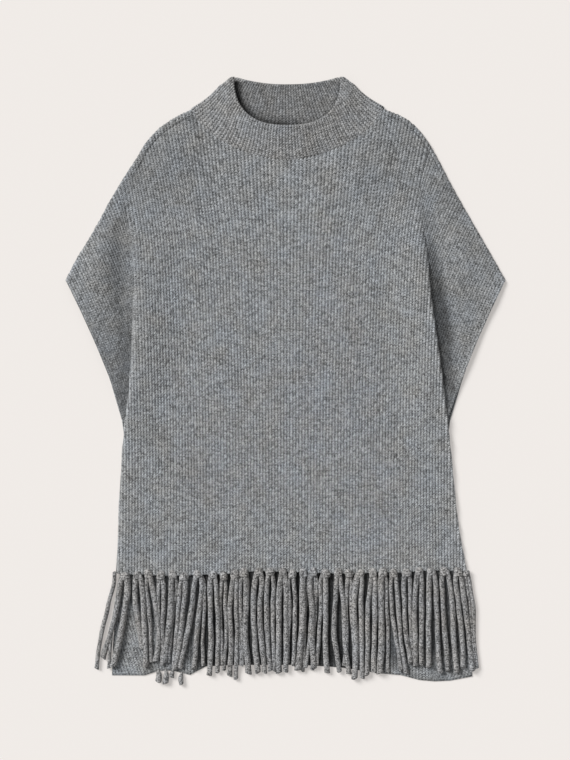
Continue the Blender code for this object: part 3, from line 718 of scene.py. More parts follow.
class Cloth:
    """Points, faces and knit coordinates of a cloth wall that is being made."""

    def __init__(self):
        self.points = np.zeros((0, 3))
        self.faces = []
        self.knit = []
        self.shade = None
        self.ribs = None
        self.rim = set()

    def add_points(self, points):
        start = len(self.points)
        shape = points.shape[:-1]
        self.points = np.concatenate([self.points, points.reshape(-1, 3)])
        return start + np.arange(np.prod(shape)).reshape(shape)

    def add_grid(self, index, knit, flip=False):
        """Faces over a grid of point numbers; knit is (rib number, metres along the rib)."""
        for array, store in ((index, self.faces), (knit, self.knit)):
            corners = [array[:-1, :-1], array[1:, :-1], array[1:, 1:], array[:-1, 1:]]
            if flip:
                corners = corners[::-1]
            stacked = np.stack(corners, 2)
            store.extend(stacked.reshape((-1,) + stacked.shape[2:]))

    def add_face(self, numbers, knit):
        self.faces.append(np.array(numbers))
        self.knit.append(np.array(knit))

    def normals(self):
        faces = np.array([face for face in self.faces if len(face) == 4])
        corners = self.points[faces]
        flat = np.cross(corners[:, 2] - corners[:, 0], corners[:, 3] - corners[:, 1])
        made = np.zeros_like(self.points)
        for corner in range(4):
            np.add.at(made, faces[:, corner], flat)
        return made / np.maximum(np.linalg.norm(made, axis=1), 1e-12)[:, None]

    def make(self, name):
        faces, knit = [], []
        for face, coordinates in zip(self.faces, self.knit):
            kept = [i for i in range(len(face)) if face[i] not in face[:i]]
            if len(kept) > 2:
                faces.append([int(face[i]) for i in kept])
                knit.extend(coordinates[i] for i in kept)
        mesh = bpy.data.meshes.new(name)
        mesh.from_pydata(self.points.tolist(), [], faces)
        layer = mesh.uv_layers.new(name="knit")
        layer.data.foreach_set("uv", np.array(knit, np.float32).ravel())
        for attribute, values in (("shade", self.shade), ("ribs", self.ribs)):
            if values is not None:
                layer = mesh.attributes.new(name=attribute, type="FLOAT", domain="POINT")
                layer.data.foreach_set("value", values)
        mesh.validate()
        mesh.shade_smooth()
        for edge in mesh.edges:
            edge.use_edge_sharp = edge.vertices[0] in self.rim and edge.vertices[1] in self.rim
        piece = bpy.data.objects.new(name, mesh)
        bpy.context.scene.collection.objects.link(piece)
        return piece


def knit_lengths(points):
    """Distance along each column of a grid of points, column by column."""
    steps = np.linalg.norm(np.diff(points, axis=1), axis=2)
    return np.concatenate([np.zeros((len(points), 1)), np.cumsum(steps, axis=1)], 1)


def stitch(cloth, chain, first, last, flip):
    """Triangles between a fine chain of point numbers and the edge from first to last."""
    middle = len(chain) // 2
    made = [(chain[i], chain[i + 1], first) for i in range(middle)]
    made.append((first, chain[middle], last))
    made += [(chain[i], chain[i + 1], last) for i in range(middle, len(chain) - 1)]
    for face in made:
        cloth.add_face(face[::-1] if flip else face, [(0.5, 0.0)] * 3)


def finish_piece(piece, node, material):
    """Gives a piece its material and its place among the frame's nodes."""
    piece.data.materials.append(material)
    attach(piece, "root")
    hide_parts(node)


# --- the front ---


def crease_height(x, y):
    """Height of all soft creases together."""
    total = np.zeros_like(x)
    for crease in CREASES:
        start = np.array([crease.x0, crease.y0])
        along = np.array([crease.x1, crease.y1]) - start
        length = np.linalg.norm(along)
        along /= length
        s = ((x - start[0]) * along[0] + (y - start[1]) * along[1]) / length
        bend = 0.006 * np.sin(2.2 * math.pi * s + 40 * crease.x0)
        d = (x - start[0]) * along[1] - (y - start[1]) * along[0] + bend
        ends = smooth((s + 0.15) / 0.4) * smooth((1.15 - s) / 0.4)
        total += crease.height * ends * bell(d, crease.width)
    return total


def loft(x, y):
    """How high the cloth lies off the back, with the low waves of a garment that isn't pressed."""
    wave = np.sin(19 * x + 2.1) * np.cos(7 * y - 0.4) + 0.6 * np.sin(31 * x - 9 * y)
    ripple = np.sin(53 * x + 17 * y + 0.8) * np.sin(29 * y - 11 * x)
    return 0.0016 + 0.0006 * wave + 0.00025 * ripple


def rib_table():
    """Rib numbers over a table of heights y and places x, counted out from the middle."""
    xs, ys = np.linspace(-0.36, 0.36, 721), np.linspace(-0.31, 0.42, 147)
    middle, side = curve(PITCHES, "middle", ys), curve(PITCHES, "side", ys)
    rate = 1 / (side[:, None] + (middle - side)[:, None] * bell(xs, RIB_SPREAD))
    rib = np.cumsum((rate[:, 1:] + rate[:, :-1]) / 2 * np.diff(xs), axis=1)
    rib = np.column_stack([np.zeros(len(ys)), rib])
    return xs, ys, MIDDLE_RIB + rib - rib[:, len(xs) // 2, None]


def rib_number(ribs, x, y):
    """The rib numbers at places of the front, from rib_table's table."""
    xs, ys, rib = ribs
    across = np.clip((x - xs[0]) / (xs[1] - xs[0]), 0, len(xs) - 1.001)
    up = np.clip((y - ys[0]) / (ys[1] - ys[0]), 0, len(ys) - 1.001)
    i, j = across.astype(int), up.astype(int)
    s, t = across - i, up - j
    low = rib[j, i] * (1 - s) + rib[j, i + 1] * s
    return low * (1 - t) + (rib[j + 1, i] * (1 - s) + rib[j + 1, i + 1] * s) * t


def fold_section(at, foot, side):
    """Section of an edge from its hidden foot to the top of its fold, as (x, height) rows."""
    t = np.linspace(0, 1, FOLD_STEPS)
    reach = 1.9 * max(at.tuck, 0) * FOLD_TUCK + 0.0012 * float(smooth(at.lift / 0.004))
    out = 3 * (1 - t) ** 2 * t * reach + 3 * (1 - t) * t**2 * reach - t**3 * at.slope
    lift = max(at.lift, 0)
    foot += lift * float(np.clip(at.foot, 0, 1))
    high = foot + (lift - foot) * smooth(t / FOLD_TOPS[side])
    return np.stack([at.x + side * (out - out.max()), high], 1)


def row_lines(edge):
    """For each row of the body, a function that gives its y over an x; the last is the edge."""

    def upper(x):
        return np.interp(x, edge[:, 0], edge[:, 1])

    def low_row(share):
        return lambda x: front_hem(x) + share * (UNDERARM_Y - front_hem(x))

    def high_row(share):
        return lambda x: UNDERARM_Y + share * (upper(x) - EDGE_ROOMS[0] - UNDERARM_Y)

    def edge_row(room):
        return lambda x: upper(x) - room

    low = np.r_[0, 0.005, 0.013, 0.025, np.linspace(0.045, 1, LOW_ROWS - 3)]
    high = np.linspace(0, 1, HIGH_ROWS - len(EDGE_ROOMS) + 2)[:-1]
    lines = [low_row(share) for share in low[:-1]] + [high_row(share) for share in high]
    return lines + [edge_row(room) for room in EDGE_ROOMS], upper


def row_end(line, side):
    """The fold at one end of a row, from its foot to its top: x, y, height."""
    y = UNDERARM_Y
    for _ in range(14):  # the row's y and the fold's x depend on each other
        y = float(line(float(curve(EDGES[side], "x", y))))
    at = Edge(*[float(curve(EDGES[side], field, y)) for field in Edge._fields])
    foot = -0.0026 * float(smooth((UNDERARM_Y + 0.004 - y) / 0.02))
    turn = fold_section(at, foot, side)
    return np.column_stack([turn[:, 0], line(turn[:, 0]), turn[:, 1]])


def body_row(line, ribs):
    """One row from the foot of its left fold to that of its right: x, y, height, rib number."""
    left, right = row_end(line, LEFT), row_end(line, RIGHT)
    x = np.linspace(left[-1, 0], right[-1, 0], ROW_STEPS)[1:-1]
    y = line(x)
    near_left = smooth(1 - (x - left[-1, 0]) / FOLD_FALL)
    near_right = smooth(1 - (right[-1, 0] - x) / FOLD_FALL)
    high = loft(x, y) * (1 - near_left) * (1 - near_right)
    high += left[-1, 2] * near_left + right[-1, 2] * near_right
    row = np.concatenate([left, np.column_stack([x, y, high]), right[::-1]])
    rib = rib_number(ribs, row[:, 0], row[:, 1])
    for turn, top, way in ((left, len(left) - 1, -1), (right, len(row) - len(right), 1)):
        steps = np.hypot(np.diff(turn[:, 0]), np.diff(turn[:, 2]))
        wide = float(curve(PITCHES, "side", turn[0, 1]))
        past = np.r_[0, np.cumsum(steps[::-1])] / wide * way
        if way < 0:
            rib[: top + 1] = rib[top] + past[::-1]
        else:
            rib[top:] = rib[top] + past
    rib = np.maximum.accumulate(rib + 1e-5 * np.arange(len(rib)))
    return np.column_stack([row, rib])


# The body's middle by (column, row): points, rib numbers, the column each point belongs to, the
# distance to the upper edge, and 1 where that edge is a shoulder and 0 where it is the neck
Body = namedtuple("Body", "points rib owner room shoulder")


def front_body(edge, neck_span):
    """The body; a column that leaves a row is joined to the last column that stays in it."""
    lines, upper = row_lines(edge)
    ribs = rib_table()
    rows = [body_row(line, ribs) for line in lines]
    first = math.floor(min(row[0, 3] for row in rows) * BODY_COLUMNS)
    last = math.ceil(max(row[-1, 3] for row in rows) * BODY_COLUMNS)
    ribs = np.arange(first, last + 1) / BODY_COLUMNS
    grid = np.zeros((len(ribs), len(rows), 4))
    owner = np.zeros(grid.shape[:2], int)
    for j, row in enumerate(rows):
        inside = np.nonzero((ribs > row[0, 3] + 0.12) & (ribs < row[-1, 3] - 0.12))[0]
        start, stop = inside[0] - 1, inside[-1] + 1
        at = np.clip(ribs, row[0, 3], row[-1, 3])
        at[: start + 1], at[stop:] = row[0, 3], row[-1, 3]
        for axis in range(3):
            grid[:, j, axis] = np.interp(at, row[:, 3], row[:, axis])
        grid[:, j, 3] = at
        owner[:, j] = np.clip(np.arange(len(ribs)), start, stop)
    x = grid[..., 0]
    outside_neck = np.maximum(neck_span[0] - x, x - neck_span[1])
    shoulder = smooth(outside_neck / 0.012 + 0.5)
    # The distance square to the shoulder's slope
    slope = (upper(x + 0.003) - upper(x - 0.003)) / 0.006 * shoulder
    room = np.maximum(upper(x) - grid[..., 1], 0) / np.hypot(1, slope)
    return Body(grid[..., :3], grid[..., 3], owner, room, shoulder)


def settle(points, room, shoulder):
    """Adds the creases, brings the cloth down to its seams and turns it over the shoulders."""
    x, y = points[..., 0], points[..., 1]
    high = points[..., 2] + crease_height(x, y)
    high = high * smooth(room / 0.035)
    turn = np.clip(ROLL - room, 0, ROLL)
    high = high - shoulder * (ROLL - np.sqrt(ROLL**2 - turn**2)) * 0.85
    high = high - shoulder * SEAM_DEPTH * seam_line(x, y, room)
    high = high - (1 - shoulder) * 0.0016 * smooth(1 - room / (NECK_LAP + 0.0012))
    hem = 0.0006 * np.sin(41 * x + 1.0) * smooth(1 - (y - HEM_Y) / 0.05)
    points[..., 2] = FRONT_REST + high + hem
    return points


def seam_line(x, y, room):
    """1 on the shoulder seams and 0 beside them; they run out towards the wings."""
    seam = np.where(x < 0, SEAM_ROOMS[LEFT], SEAM_ROOMS[RIGHT])
    return bell(room - seam, SEAM_WIDTH) * smooth((y - 0.300) / 0.025)


def past_right_edge(x, y):
    """How far a place is past the right fold's edge."""
    return x - curve(RIGHT_EDGE, "x", y)


def hollow_shade(x, y):
    """How dark the cloth is in the hollow beside the fold of its side and on its shoulders."""
    dark = SHOULDER_SHADE * smooth((y - 0.230) / 0.06) * smooth((np.abs(x) - 0.07) / 0.06)
    for side, hollow in HOLLOWS.items():
        off = (x - curve(hollow, "x", y)) / curve(hollow, "width", y)
        depth = np.maximum(curve(hollow, "depth", y), 0) * smooth((y + 0.085) / 0.06)
        if side == RIGHT:
            # Right beside this fold the cloth is dark enough from the fold's own shadow
            depth = depth * (1 - 0.85 * bell(past_right_edge(x, y) - 0.0006, 0.0032))
        dark += np.where(x * side > 0, depth * np.exp(-(off**4)), 0)
    return dark


def body_shade(x, y, room, shoulder):
    """Shade of the body: its hollows, its seams, and the light on its right fold and side."""
    shade = 1 - hollow_shade(x, y) * smooth((y - 0.150) / 0.05)
    shade -= SEAM_SHADE * shoulder * seam_line(x, y, room)
    past = past_right_edge(x, y)
    crest = CREST_GLOW.strength * bell(past + CREST_GLOW.inside, CREST_GLOW.width)
    shade += crest * smooth((y + 0.085) / 0.05) * smooth((0.150 - y) / 0.05)
    underarm = UNDERARM_GLOW.strength * bell(past + UNDERARM_GLOW.inside, UNDERARM_GLOW.width)
    return shade + underarm * smooth((-0.030 - y) / 0.040)


def body_ribs(x, y):
    """How strongly the ribs show; they are drawn flat on the crest beside the left wing."""
    flat = bell(x - FLAT_CREST_X, FLAT_CREST_WIDTH) * smooth((y - 0.02) / 0.06)
    return 1 - 0.75 * flat * smooth((0.245 - y) / 0.04)


def wing_shade(side, x, y, past_body, room, column):
    """Shade of a wing at its distances past the body's side and to the shoulder."""
    far = smooth((np.abs(x) - 0.265) / 0.030) * smooth((y - 0.060) / 0.060)
    dim = curve(WING_DIMS, SIDE_NAMES[side], y) * smooth(past_body / 0.006)
    shade = 1 - hollow_shade(x, y) - dim * (1 - 0.85 * far)
    shade -= SEAM_SHADE * seam_line(x, y, room)
    if side == RIGHT:
        shade += RIM_LIGHT * bell(column, RIM_COLUMNS)
    return shade


def wing_ribs_shown(side, x, y):
    """How strongly a wing's ribs show; they are drawn flatter towards the underarm."""
    shown = 1 - (0.50 if side == LEFT else 0.30) * smooth((0.150 - y) / 0.10)
    return shown * (1 - 0.6 * bell(np.abs(x) + FLAT_CREST_X, FLAT_CREST_WIDTH) * (side == LEFT))


def rib_goals(side, foot, share, seam):
    """Where each of a wing's ribs meets the shoulder, if it goes up from its foot at its lean."""
    tip = np.degrees(np.arctan2(abs(seam[0, 0] - foot[0, 0]), seam[0, 1] - foot[0, 1]))
    lean = curve(LEANS, SIDE_NAMES[side], foot[:, 1])
    lean = np.radians(tip + (lean - tip) * np.minimum(1, share * 4))
    goal = np.zeros((len(foot), 2))
    for j in range(len(foot)):
        way = np.array([side * math.sin(lean[j]), math.cos(lean[j])])
        off = (seam[:, 0] - foot[j, 0]) * way[1] - (seam[:, 1] - foot[j, 1]) * way[0]
        goal[j] = seam[np.abs(off).argmin()]
    goal[0], goal[-1] = seam[0], seam[-1]
    # Evened out, so that neighbouring ribs keep their distance
    order = np.interp(goal[:, 1], np.maximum.accumulate(seam[:, 1]), np.arange(len(seam)))
    order = np.maximum.accumulate(order)
    kernel = np.hanning(15) / np.hanning(15).sum()
    order[7:-7] = np.convolve(order, kernel, "valid")
    return np.stack([np.interp(order, np.arange(len(seam)), axis) for axis in seam.T], 1)


def wing_height(side, points, share, foot, spine):
    """Height of a wing's points: the fold's crest falls away, then the wing lies on the back."""
    # It follows the distance to the foot line at the same y
    ys = np.r_[foot[:, 1], spine[1:, 1]]
    line_x, line_z = np.r_[foot[:, 0], spine[1:, 0]], np.r_[foot[:, 2], spine[1:, 2]]
    out = np.maximum((points[..., 0] - np.interp(points[..., 1], ys, line_x)) * side, 0)
    crest = np.interp(points[..., 1], ys, line_z)
    high = WING_RISE * smooth(out / 0.065) + crest * smooth(1 - out / 0.030)
    high *= 0.40 + 0.60 * smooth(share / 0.35)[:, None]
    curl = smooth(1 - share / 0.06)[:, None]
    return high + 0.0008 * curl * np.sin(60 * points[..., 1]) * smooth(out / 0.02)


def front_wing(side, foot, spine, spine_room, edge):
    """A wing's middle points by (column, row) and its distance to the shoulder.

    Its columns are ribs that start on the foot line; the last is the body's own edge, the spine.
    """
    top = spine[-1]
    line = edge if side == LEFT else edge[::-1]
    line = line[(line[:, 1] < top[1] - 0.0005) & (line[:, 0] * side > top[0] * side)]
    seam = spread(np.concatenate([line, top[None, :2]]), SEAM_STEPS)
    share = (foot[:, 1] - foot[0, 1]) / (foot[-1, 1] - foot[0, 1])
    goal = rib_goals(side, foot, share, seam)
    lengths = np.linalg.norm(goal - foot[:, :2], axis=1)
    count = WING_ROWS + 1 - len(EDGE_ROOMS)
    room = np.zeros((len(foot), WING_ROWS + 1))
    for j, length in enumerate(lengths):
        room[j] = np.r_[np.linspace(length, EDGE_ROOMS[0], count + 1)[:-1], EDGE_ROOMS]
    along = 1 - room / lengths[:, None]
    bow = WING_BOW * lengths * smooth((1 - share) / 0.2)
    points = np.zeros(room.shape + (3,))
    points[..., :2] = foot[:, None, :2] + (goal - foot[:, :2])[:, None, :] * along[..., None]
    points[..., 0] -= side * bow[:, None] * 4 * along * (1 - along)
    joined = smooth((share - 0.7) / 0.3)[:, None]
    points[..., :2] += joined[..., None] * (spine[:, :2] - points[-1, :, :2])
    room = room + joined * (spine_room - room[-1])
    points[..., 2] = wing_height(side, points, share, foot, spine)
    return points, room


def wing_ribs(points):
    """Rib numbers of a wing's columns, counted down from its last column."""
    across = np.diff(points[..., :2], axis=0)
    along = np.gradient(points[..., :2], axis=1)[:-1]
    along /= np.maximum(np.linalg.norm(along, axis=2), 1e-9)[..., None]
    apart = np.abs(across[..., 0] * along[..., 1] - across[..., 1] * along[..., 0])
    steps = apart[:, :-4].mean(axis=1) / WING_PITCH
    return np.r_[0, np.cumsum(steps)] - steps.sum()


class Front:
    """The front panel while it is made: its body, its two wings, its inside and its rim."""

    def __init__(self, rib_rise):
        self.rib_rise = rib_rise
        self.cloth = Cloth()
        self.edge, neck_span = top_edge(False, 0.0006, -NECK_LAP)
        self.body = front_body(self.edge, neck_span)
        self.bend = self.body.rib.shape[1] - 1 - WING_ROWS  # above this row the body meets the wings
        self.wings = {}
        self.shade, self.ribs, self.rise = [], [], []
        self.inner = {}  # the inside's point for a point of the outside

    def add_body(self):
        body = self.body
        points = settle(body.points.copy(), body.room, body.shoulder)
        own = body.owner == np.arange(len(points))[:, None]
        number = np.full(own.shape, -1)
        number[own] = self.cloth.add_points(points[own])
        self.number = np.take_along_axis(number, body.owner, axis=0)
        rising = np.broadcast_to(points[len(points) // 2, :, 1], own.shape)
        self.cloth.add_grid(self.number, np.stack([body.rib, rising], 2))
        x, y = points[own][:, 0], points[own][:, 1]
        self.shade.append(body_shade(x, y, body.room[own], body.shoulder[own]))
        self.ribs.append(body_ribs(x, y))
        self.rise.append(self.rib_rise * rib_wave(body.rib[own]) * self.ribs[-1])

    def add_wing(self, side):
        body, bend = self.body, self.bend
        column = 0 if side == LEFT else -1
        last_owner, rows = body.owner[column], np.arange(body.owner.shape[1])
        sides, side_rooms = body.points[last_owner, rows], body.room[last_owner, rows]
        foot, spine = sides[LOW_ROWS : bend + 1], sides[bend:]
        points, room = front_wing(side, foot, spine, side_rooms[bend:], self.edge)
        rib = body.rib[column, bend] - side * wing_ribs(points)
        points = settle(points, room, np.ones_like(room))
        index = np.zeros(points.shape[:2], int)
        index[:-1, 1:] = self.cloth.add_points(points[:-1, 1:])
        index[:, 0] = self.number[column, LOW_ROWS : bend + 1]
        index[-1, :] = self.number[column, bend:]
        knit = np.stack([np.broadcast_to(rib[:, None], index.shape), -room], 2)
        self.cloth.add_grid(index, knit, flip=side == RIGHT)
        self.wings[side] = index

        # Its first row and last column are the body's own points
        x, y, room = points[:-1, 1:, 0].ravel(), points[:-1, 1:, 1].ravel(), room[:-1, 1:]
        past_body = np.abs(x) - np.abs(np.interp(y, sides[:, 1], sides[:, 0]))
        column_of = np.repeat(np.arange(len(room)), WING_ROWS)
        self.shade.append(wing_shade(side, x, y, past_body, room.ravel(), column_of))
        self.ribs.append(wing_ribs_shown(side, x, y))
        near_edge = smooth(np.minimum(1, room / 0.006) + 0.3)
        waves = (rib_wave(rib)[:-1, None] * near_edge).ravel()
        self.rise.append(self.rib_rise * WING_RIB_RISE * waves * self.ribs[-1])

    def add_inside(self):
        """The plain inside keeps one column a rib and one row in a few."""
        self.middles, self.normals = self.cloth.points.copy(), self.cloth.normals()
        # The rows where a wing starts and ends are kept, so that the insides share their edges
        foot_rows = LOW_ROWS + every(self.bend + 1 - LOW_ROWS, KEEP_ROWS)
        top_rows = self.bend + every(WING_ROWS + 1, KEEP_ROWS)
        rows = np.unique(np.r_[np.arange(0, LOW_ROWS, KEEP_ROWS), foot_rows, top_rows])
        self.add_inner_grid(self.number[np.ix_(every(len(self.number), BODY_COLUMNS), rows)], True)
        for side, wing in self.wings.items():
            kept = np.ix_(*[every(count, KEEP_ROWS) for count in wing.shape])
            self.add_inner_grid(wing[kept], side == LEFT)

    def add_inner_grid(self, outer, flip):
        fresh = list(dict.fromkeys(n for n in outer.ravel() if n not in self.inner))
        made = self.cloth.add_points(self.middles[fresh] - self.normals[fresh] * WALL / 2)
        self.inner.update(zip(fresh, made))
        index = np.vectorize(self.inner.get)(outer)
        self.cloth.add_grid(index, np.full(index.shape + (2,), 0.5), flip=flip)

    def raise_ribs(self):
        """Moves the outside out by half the wall and by its ribs."""
        shift = WALL / 2 + np.concatenate(self.rise)
        left, right = self.wings[LEFT], self.wings[RIGHT]
        rim = [self.number[:, 0], self.number[:, -1], left[0], left[:, -1], right[0], right[:, -1]]
        shift[np.concatenate(rim)] *= RIM_THIN
        self.cloth.points[: len(shift)] = self.middles + self.normals * shift[:, None]

    def close_rim(self):
        """Joins the outside and the inside all round, in a walk by point number."""
        number, left, right = self.number, self.wings[LEFT], self.wings[RIGHT]
        walk = list(number[:, 0]) + list(number[-1, 1 : LOW_ROWS + 1])
        walk += list(right[0, 1:]) + list(right[1:-1, -1])
        walk += list(number[::-1, -1]) + list(left[1:-1, -1][::-1])
        walk += list(left[0, 1:][::-1]) + list(number[0, LOW_ROWS::-1])
        walk = [n for i, n in enumerate(walk) if i == 0 or n != walk[i - 1]]
        self.cloth.rim = set(int(n) for n in walk)
        stops = [i for i, n in enumerate(walk) if n in self.inner]
        for a, b in zip(stops, stops[1:]):
            first, last = self.inner[walk[a]], self.inner[walk[b]]
            stitch(self.cloth, walk[a : b + 1], first, last, flip=True)

    def make(self, name):
        plain = np.ones(len(self.cloth.points) - len(self.middles))
        self.cloth.shade = np.concatenate(self.shade + [plain])
        self.cloth.ribs = np.concatenate(self.ribs + [plain])
        return self.cloth.make(name)


def build_front(settings):
    front = Front(settings.rib_rise)
    front.add_body()
    front.add_wing(LEFT)
    front.add_wing(RIGHT)
    front.add_inside()
    front.raise_ribs()
    front.close_rim()
    return front.make("front_knit")


# --- the back ---


def back_grid(edge):
    """The back's plan by (column, row), from its hem up; rows are close together in the tail."""
    share = np.linspace(0, 1, BACK_RIBS * BACK_COLUMNS + 1)
    ys = np.linspace(*BACK_SPAN, 400)
    left, right = (curve_straight(BACK_SIDES, name, ys)[:, None] for name in ("left", "right"))
    xs = left + (right - left) * share
    low = np.linspace(0, 1, BACK_LOW_ROWS + 1)[:-1]
    high = np.linspace(0, 1, BACK_HIGH_ROWS + 1)
    plan = np.zeros((len(share), len(low) + len(high), 2))
    for i, x in enumerate(xs.T):
        # A column runs from the hem to the first of ys that reaches the upper edge
        hem = curve_straight(BACK_HEM, "y", x, "x")
        bottom = float(np.interp(0, ys - hem, ys))
        below = np.interp(x, edge[:, 0], edge[:, 1], left=WING_TIP_Y, right=WING_TIP_Y) - ys
        top = ys[np.nonzero((below <= 0) & (ys > UNDERARM_Y))[0][0]]
        at = np.r_[bottom + low * (TAIL_TOP - bottom), TAIL_TOP + high * (top - TAIL_TOP)]
        plan[i] = np.stack([np.interp(at, ys, x), at], 1)
    return plan


def back_shade(x, y):
    """Shade of the back, which lies dark under the fringe."""
    covered = smooth((0.002 - (y - HEM_Y)) / 0.006)
    covered *= smooth((y - curve_straight(FRINGE_COVER, "y", x, "x")) / 0.030)
    # The strands lie apart from each other towards the two ends
    covered *= 1 - 0.45 * smooth((-0.120 - x) / 0.020)
    covered *= 1 - 0.30 * smooth((x - 0.130) / 0.030)
    return 1 - FRINGE_SHADE * covered


def build_back(settings):
    """A flat panel, ribbed above and below."""
    plan = back_grid(top_edge(True, 0.0, 0.0004)[0])
    x, y = plan[..., 0], plan[..., 1]
    rib = np.arange(len(plan)) / BACK_COLUMNS
    wave = rib_wave(rib)[:, None]
    tail = smooth((TAIL_TOP - y) / 0.03)
    ripple = 0.0010 * tail * np.sin(38 * x + 9 * y)
    # The ribs lean at the tail's two ends, which lie pulled to the side
    lean_left = smooth((-0.150 - x) / 0.035) * tail
    lean_right = smooth((x - 0.215) / 0.030) * tail
    leans = lean_left + lean_right
    rise = settings.rib_rise * BACK_RIB_RISE * wave * tail * (1 - leans)
    inner = np.zeros(x.shape)
    inner[1:-1, 1:-1] = 1
    high = BACK_TOP - 0.0003 + ripple + rise
    high = BACK_MID + (high - BACK_MID) * (0.5 + 0.5 * inner)
    low = np.where(inner > 0, 0.0005 * (1 - wave), 0.0006)

    cloth = Cloth()
    upper = cloth.add_points(np.dstack([plan, high]))
    under = cloth.add_points(np.dstack([plan, low]))
    lean = (lean_left - lean_right) * TAIL_LEAN * (y - TAIL_TOP) / BACK_PITCH
    lengths = knit_lengths(np.dstack([plan, np.zeros(x.shape)]))
    knit = np.stack([rib[:, None] + BACK_FIRST_RIB + lean, lengths], 2)
    cloth.add_grid(upper, knit)
    cloth.add_grid(under, knit, flip=True)
    for above, below in ((upper[:, 0], under[:, 0]), (under[:, -1], upper[:, -1])):
        cloth.add_grid(np.stack([below, above], 1), np.stack([knit[:, 0], knit[:, 1]], 1))
    for above, below in ((under[0], upper[0]), (upper[-1], under[-1])):
        cloth.add_grid(np.stack([below, above], 1), np.stack([knit[0], knit[0]], 1))
    cloth.shade = np.r_[back_shade(x, y).ravel(), np.ones(under.size)]
    cloth.ribs = np.r_[(1 - 0.10 * tail).ravel(), np.ones(under.size)]
    return cloth.make("back_knit")


# --- the neck ---


def neck_half(ring, back):
    """Half a ring from the middle of its left turn to the middle of its right turn."""
    roll = NECK_ROLL + (NECK_TOP_ROLL - NECK_ROLL) * float(smooth(ring.step / 4))
    narrow = roll - NECK_ROLL
    ring = ring._replace(left_x=ring.left_x + narrow, right_x=ring.right_x - narrow)
    share = -np.cos(np.linspace(0, math.pi, 140))
    plan = neck_edge(ring, share, back)
    opened = np.clip(1 - share**2, 0, 1) ** 0.6
    front_foot = BACK_MID + 2 * roll
    high = front_foot + (max(ring.height, front_foot) - front_foot) * opened
    if back:
        high = np.full(len(share), BACK_MID)
    from_end = np.minimum(plan[:, 0] - ring.left_x, ring.right_x - plan[:, 0])
    drop = CORNER_DROP * float(smooth((ring.step - 2.6) / 1.4))
    plan[:, 1] -= 0.35 * drop * smooth(1 - from_end / 0.005)
    line = np.column_stack([plan, high])
    angle = np.linspace(0, math.pi / 2, 9)[:-1]
    turn_z = BACK_MID + roll * (1 - np.sin(angle) * (1 if back else -1))
    out = roll * np.cos(angle)
    # The upper edge rounds off at its two corners
    fall = drop * (1.35 - np.sin(angle))
    left = np.column_stack([ring.left_x - out, ring.left_y - fall, turn_z])
    right = np.column_stack([ring.right_x + out, ring.right_y - fall, turn_z])
    return np.concatenate([left, line, right[::-1]])


def neck_grid(steps):
    """The neck's middle points by (column, row), round the front and then round the back."""
    points = []
    for step in steps:
        ring = ring_at(step)
        front = spread(neck_half(ring, False), NECK_FRONT_COLUMNS)[:-1]
        back = spread(neck_half(ring, True)[::-1], NECK_BACK_COLUMNS)[:-1]
        points.append(np.concatenate([front, back]))
    return np.array(points).transpose(1, 0, 2)


def neck_shade(points, outside, inner_count):
    """The inside of the back lies in the shade of the front's upper edge."""
    rim = outside[: NECK_FRONT_COLUMNS + 1, -1, :2]
    place = points[:, :2]
    away = np.min(np.linalg.norm(place[:, None] - rim[None, ::4], axis=2), axis=1)
    within = np.interp(place[:, 0], rim[:, 0], rim[:, 1]) < place[:, 1] + 0.002
    low = points[:, 2] < BACK_MID + 0.0046
    inner = (within & low & (place[:, 1] < 0.447)).astype(float)
    # The light comes from the left, so the shade is narrow and weak on the right
    lit = smooth((place[:, 0] + 0.015) / 0.070)
    near = bell(away, 0.0115 - 0.0072 * lit) * (0.64 - 0.38 * lit)
    shade = 1 - inner * (NECK_SHADE + near)
    # Painted shade dims the light on the front's upper rim and on the caps of both edges
    rim_row = np.zeros(outside.shape[:2], bool)
    rim_row[: NECK_FRONT_COLUMNS + 1, -1] = True
    shade[: rim_row.size][rim_row.ravel()] = NECK_RIM_SHADE
    shade[rim_row.size + inner_count :] = NECK_CAP_SHADE
    return shade


def build_neck(settings):
    steps = np.r_[np.linspace(0, 3.85, 24), 3.93, 4.0]
    points = neck_grid(steps)
    columns = len(points)
    ring_of = np.arange(columns + 1) % columns
    cloth = Cloth()
    number = cloth.add_points(points)
    rib = np.arange(columns + 1) / NECK_COLUMNS
    lengths = knit_lengths(points)[ring_of]
    knit = np.stack([np.broadcast_to(rib[:, None] + NECK_FIRST_RIB, lengths.shape), lengths], 2)
    cloth.add_grid(number[ring_of], knit)

    # Ribs outside and in, but none on the floor, and a fuller wall at the upper edge
    normals, middles = cloth.normals(), cloth.points.copy()
    on_floor = (np.arange(columns) > NECK_FRONT_COLUMNS)[:, None]
    swell = 1 + 0.35 * smooth((steps - 3.2) / 0.8)[None, :]
    rise = settings.rib_rise * NECK_RIB_RISE * rib_wave(rib[:-1])[:, None]
    outer = (WALL / 2 + np.where(on_floor, 0, rise)) * swell
    inner = (WALL / 2 + rise * 0.8) * swell
    for wall in (outer, inner):
        wall[:, [0, -1]] *= RIM_THIN
    made_out = middles + normals * outer.reshape(-1, 1)
    made_in = middles - normals * inner.reshape(-1, 1)
    made_out[:, 2] = np.maximum(made_out[:, 2], 0.0)
    cloth.points[:] = made_out
    inside = cloth.add_points(made_in.reshape(points.shape))
    cloth.add_grid(inside[ring_of], knit, flip=True)

    # Both edges are closed over a row of their own, a little beyond the wall
    for row, next_row, reach in ((0, 1, 0.2 * WALL), (-1, -2, 0.6 * WALL)):
        beyond = unit(points[:, row] - points[:, next_row])
        cap = cloth.add_points(points[:, row] + beyond * reach)
        strip = np.stack([number[ring_of, row], cap[ring_of], inside[ring_of, row]], 1)
        cloth.add_grid(strip, np.repeat(knit[:, row][:, None], 3, 1), flip=row == 0)
    cloth.shade = neck_shade(cloth.points, made_out.reshape(points.shape), len(made_in))
    cloth.ribs = np.ones(len(cloth.points))
    return cloth.make("neck_knit")


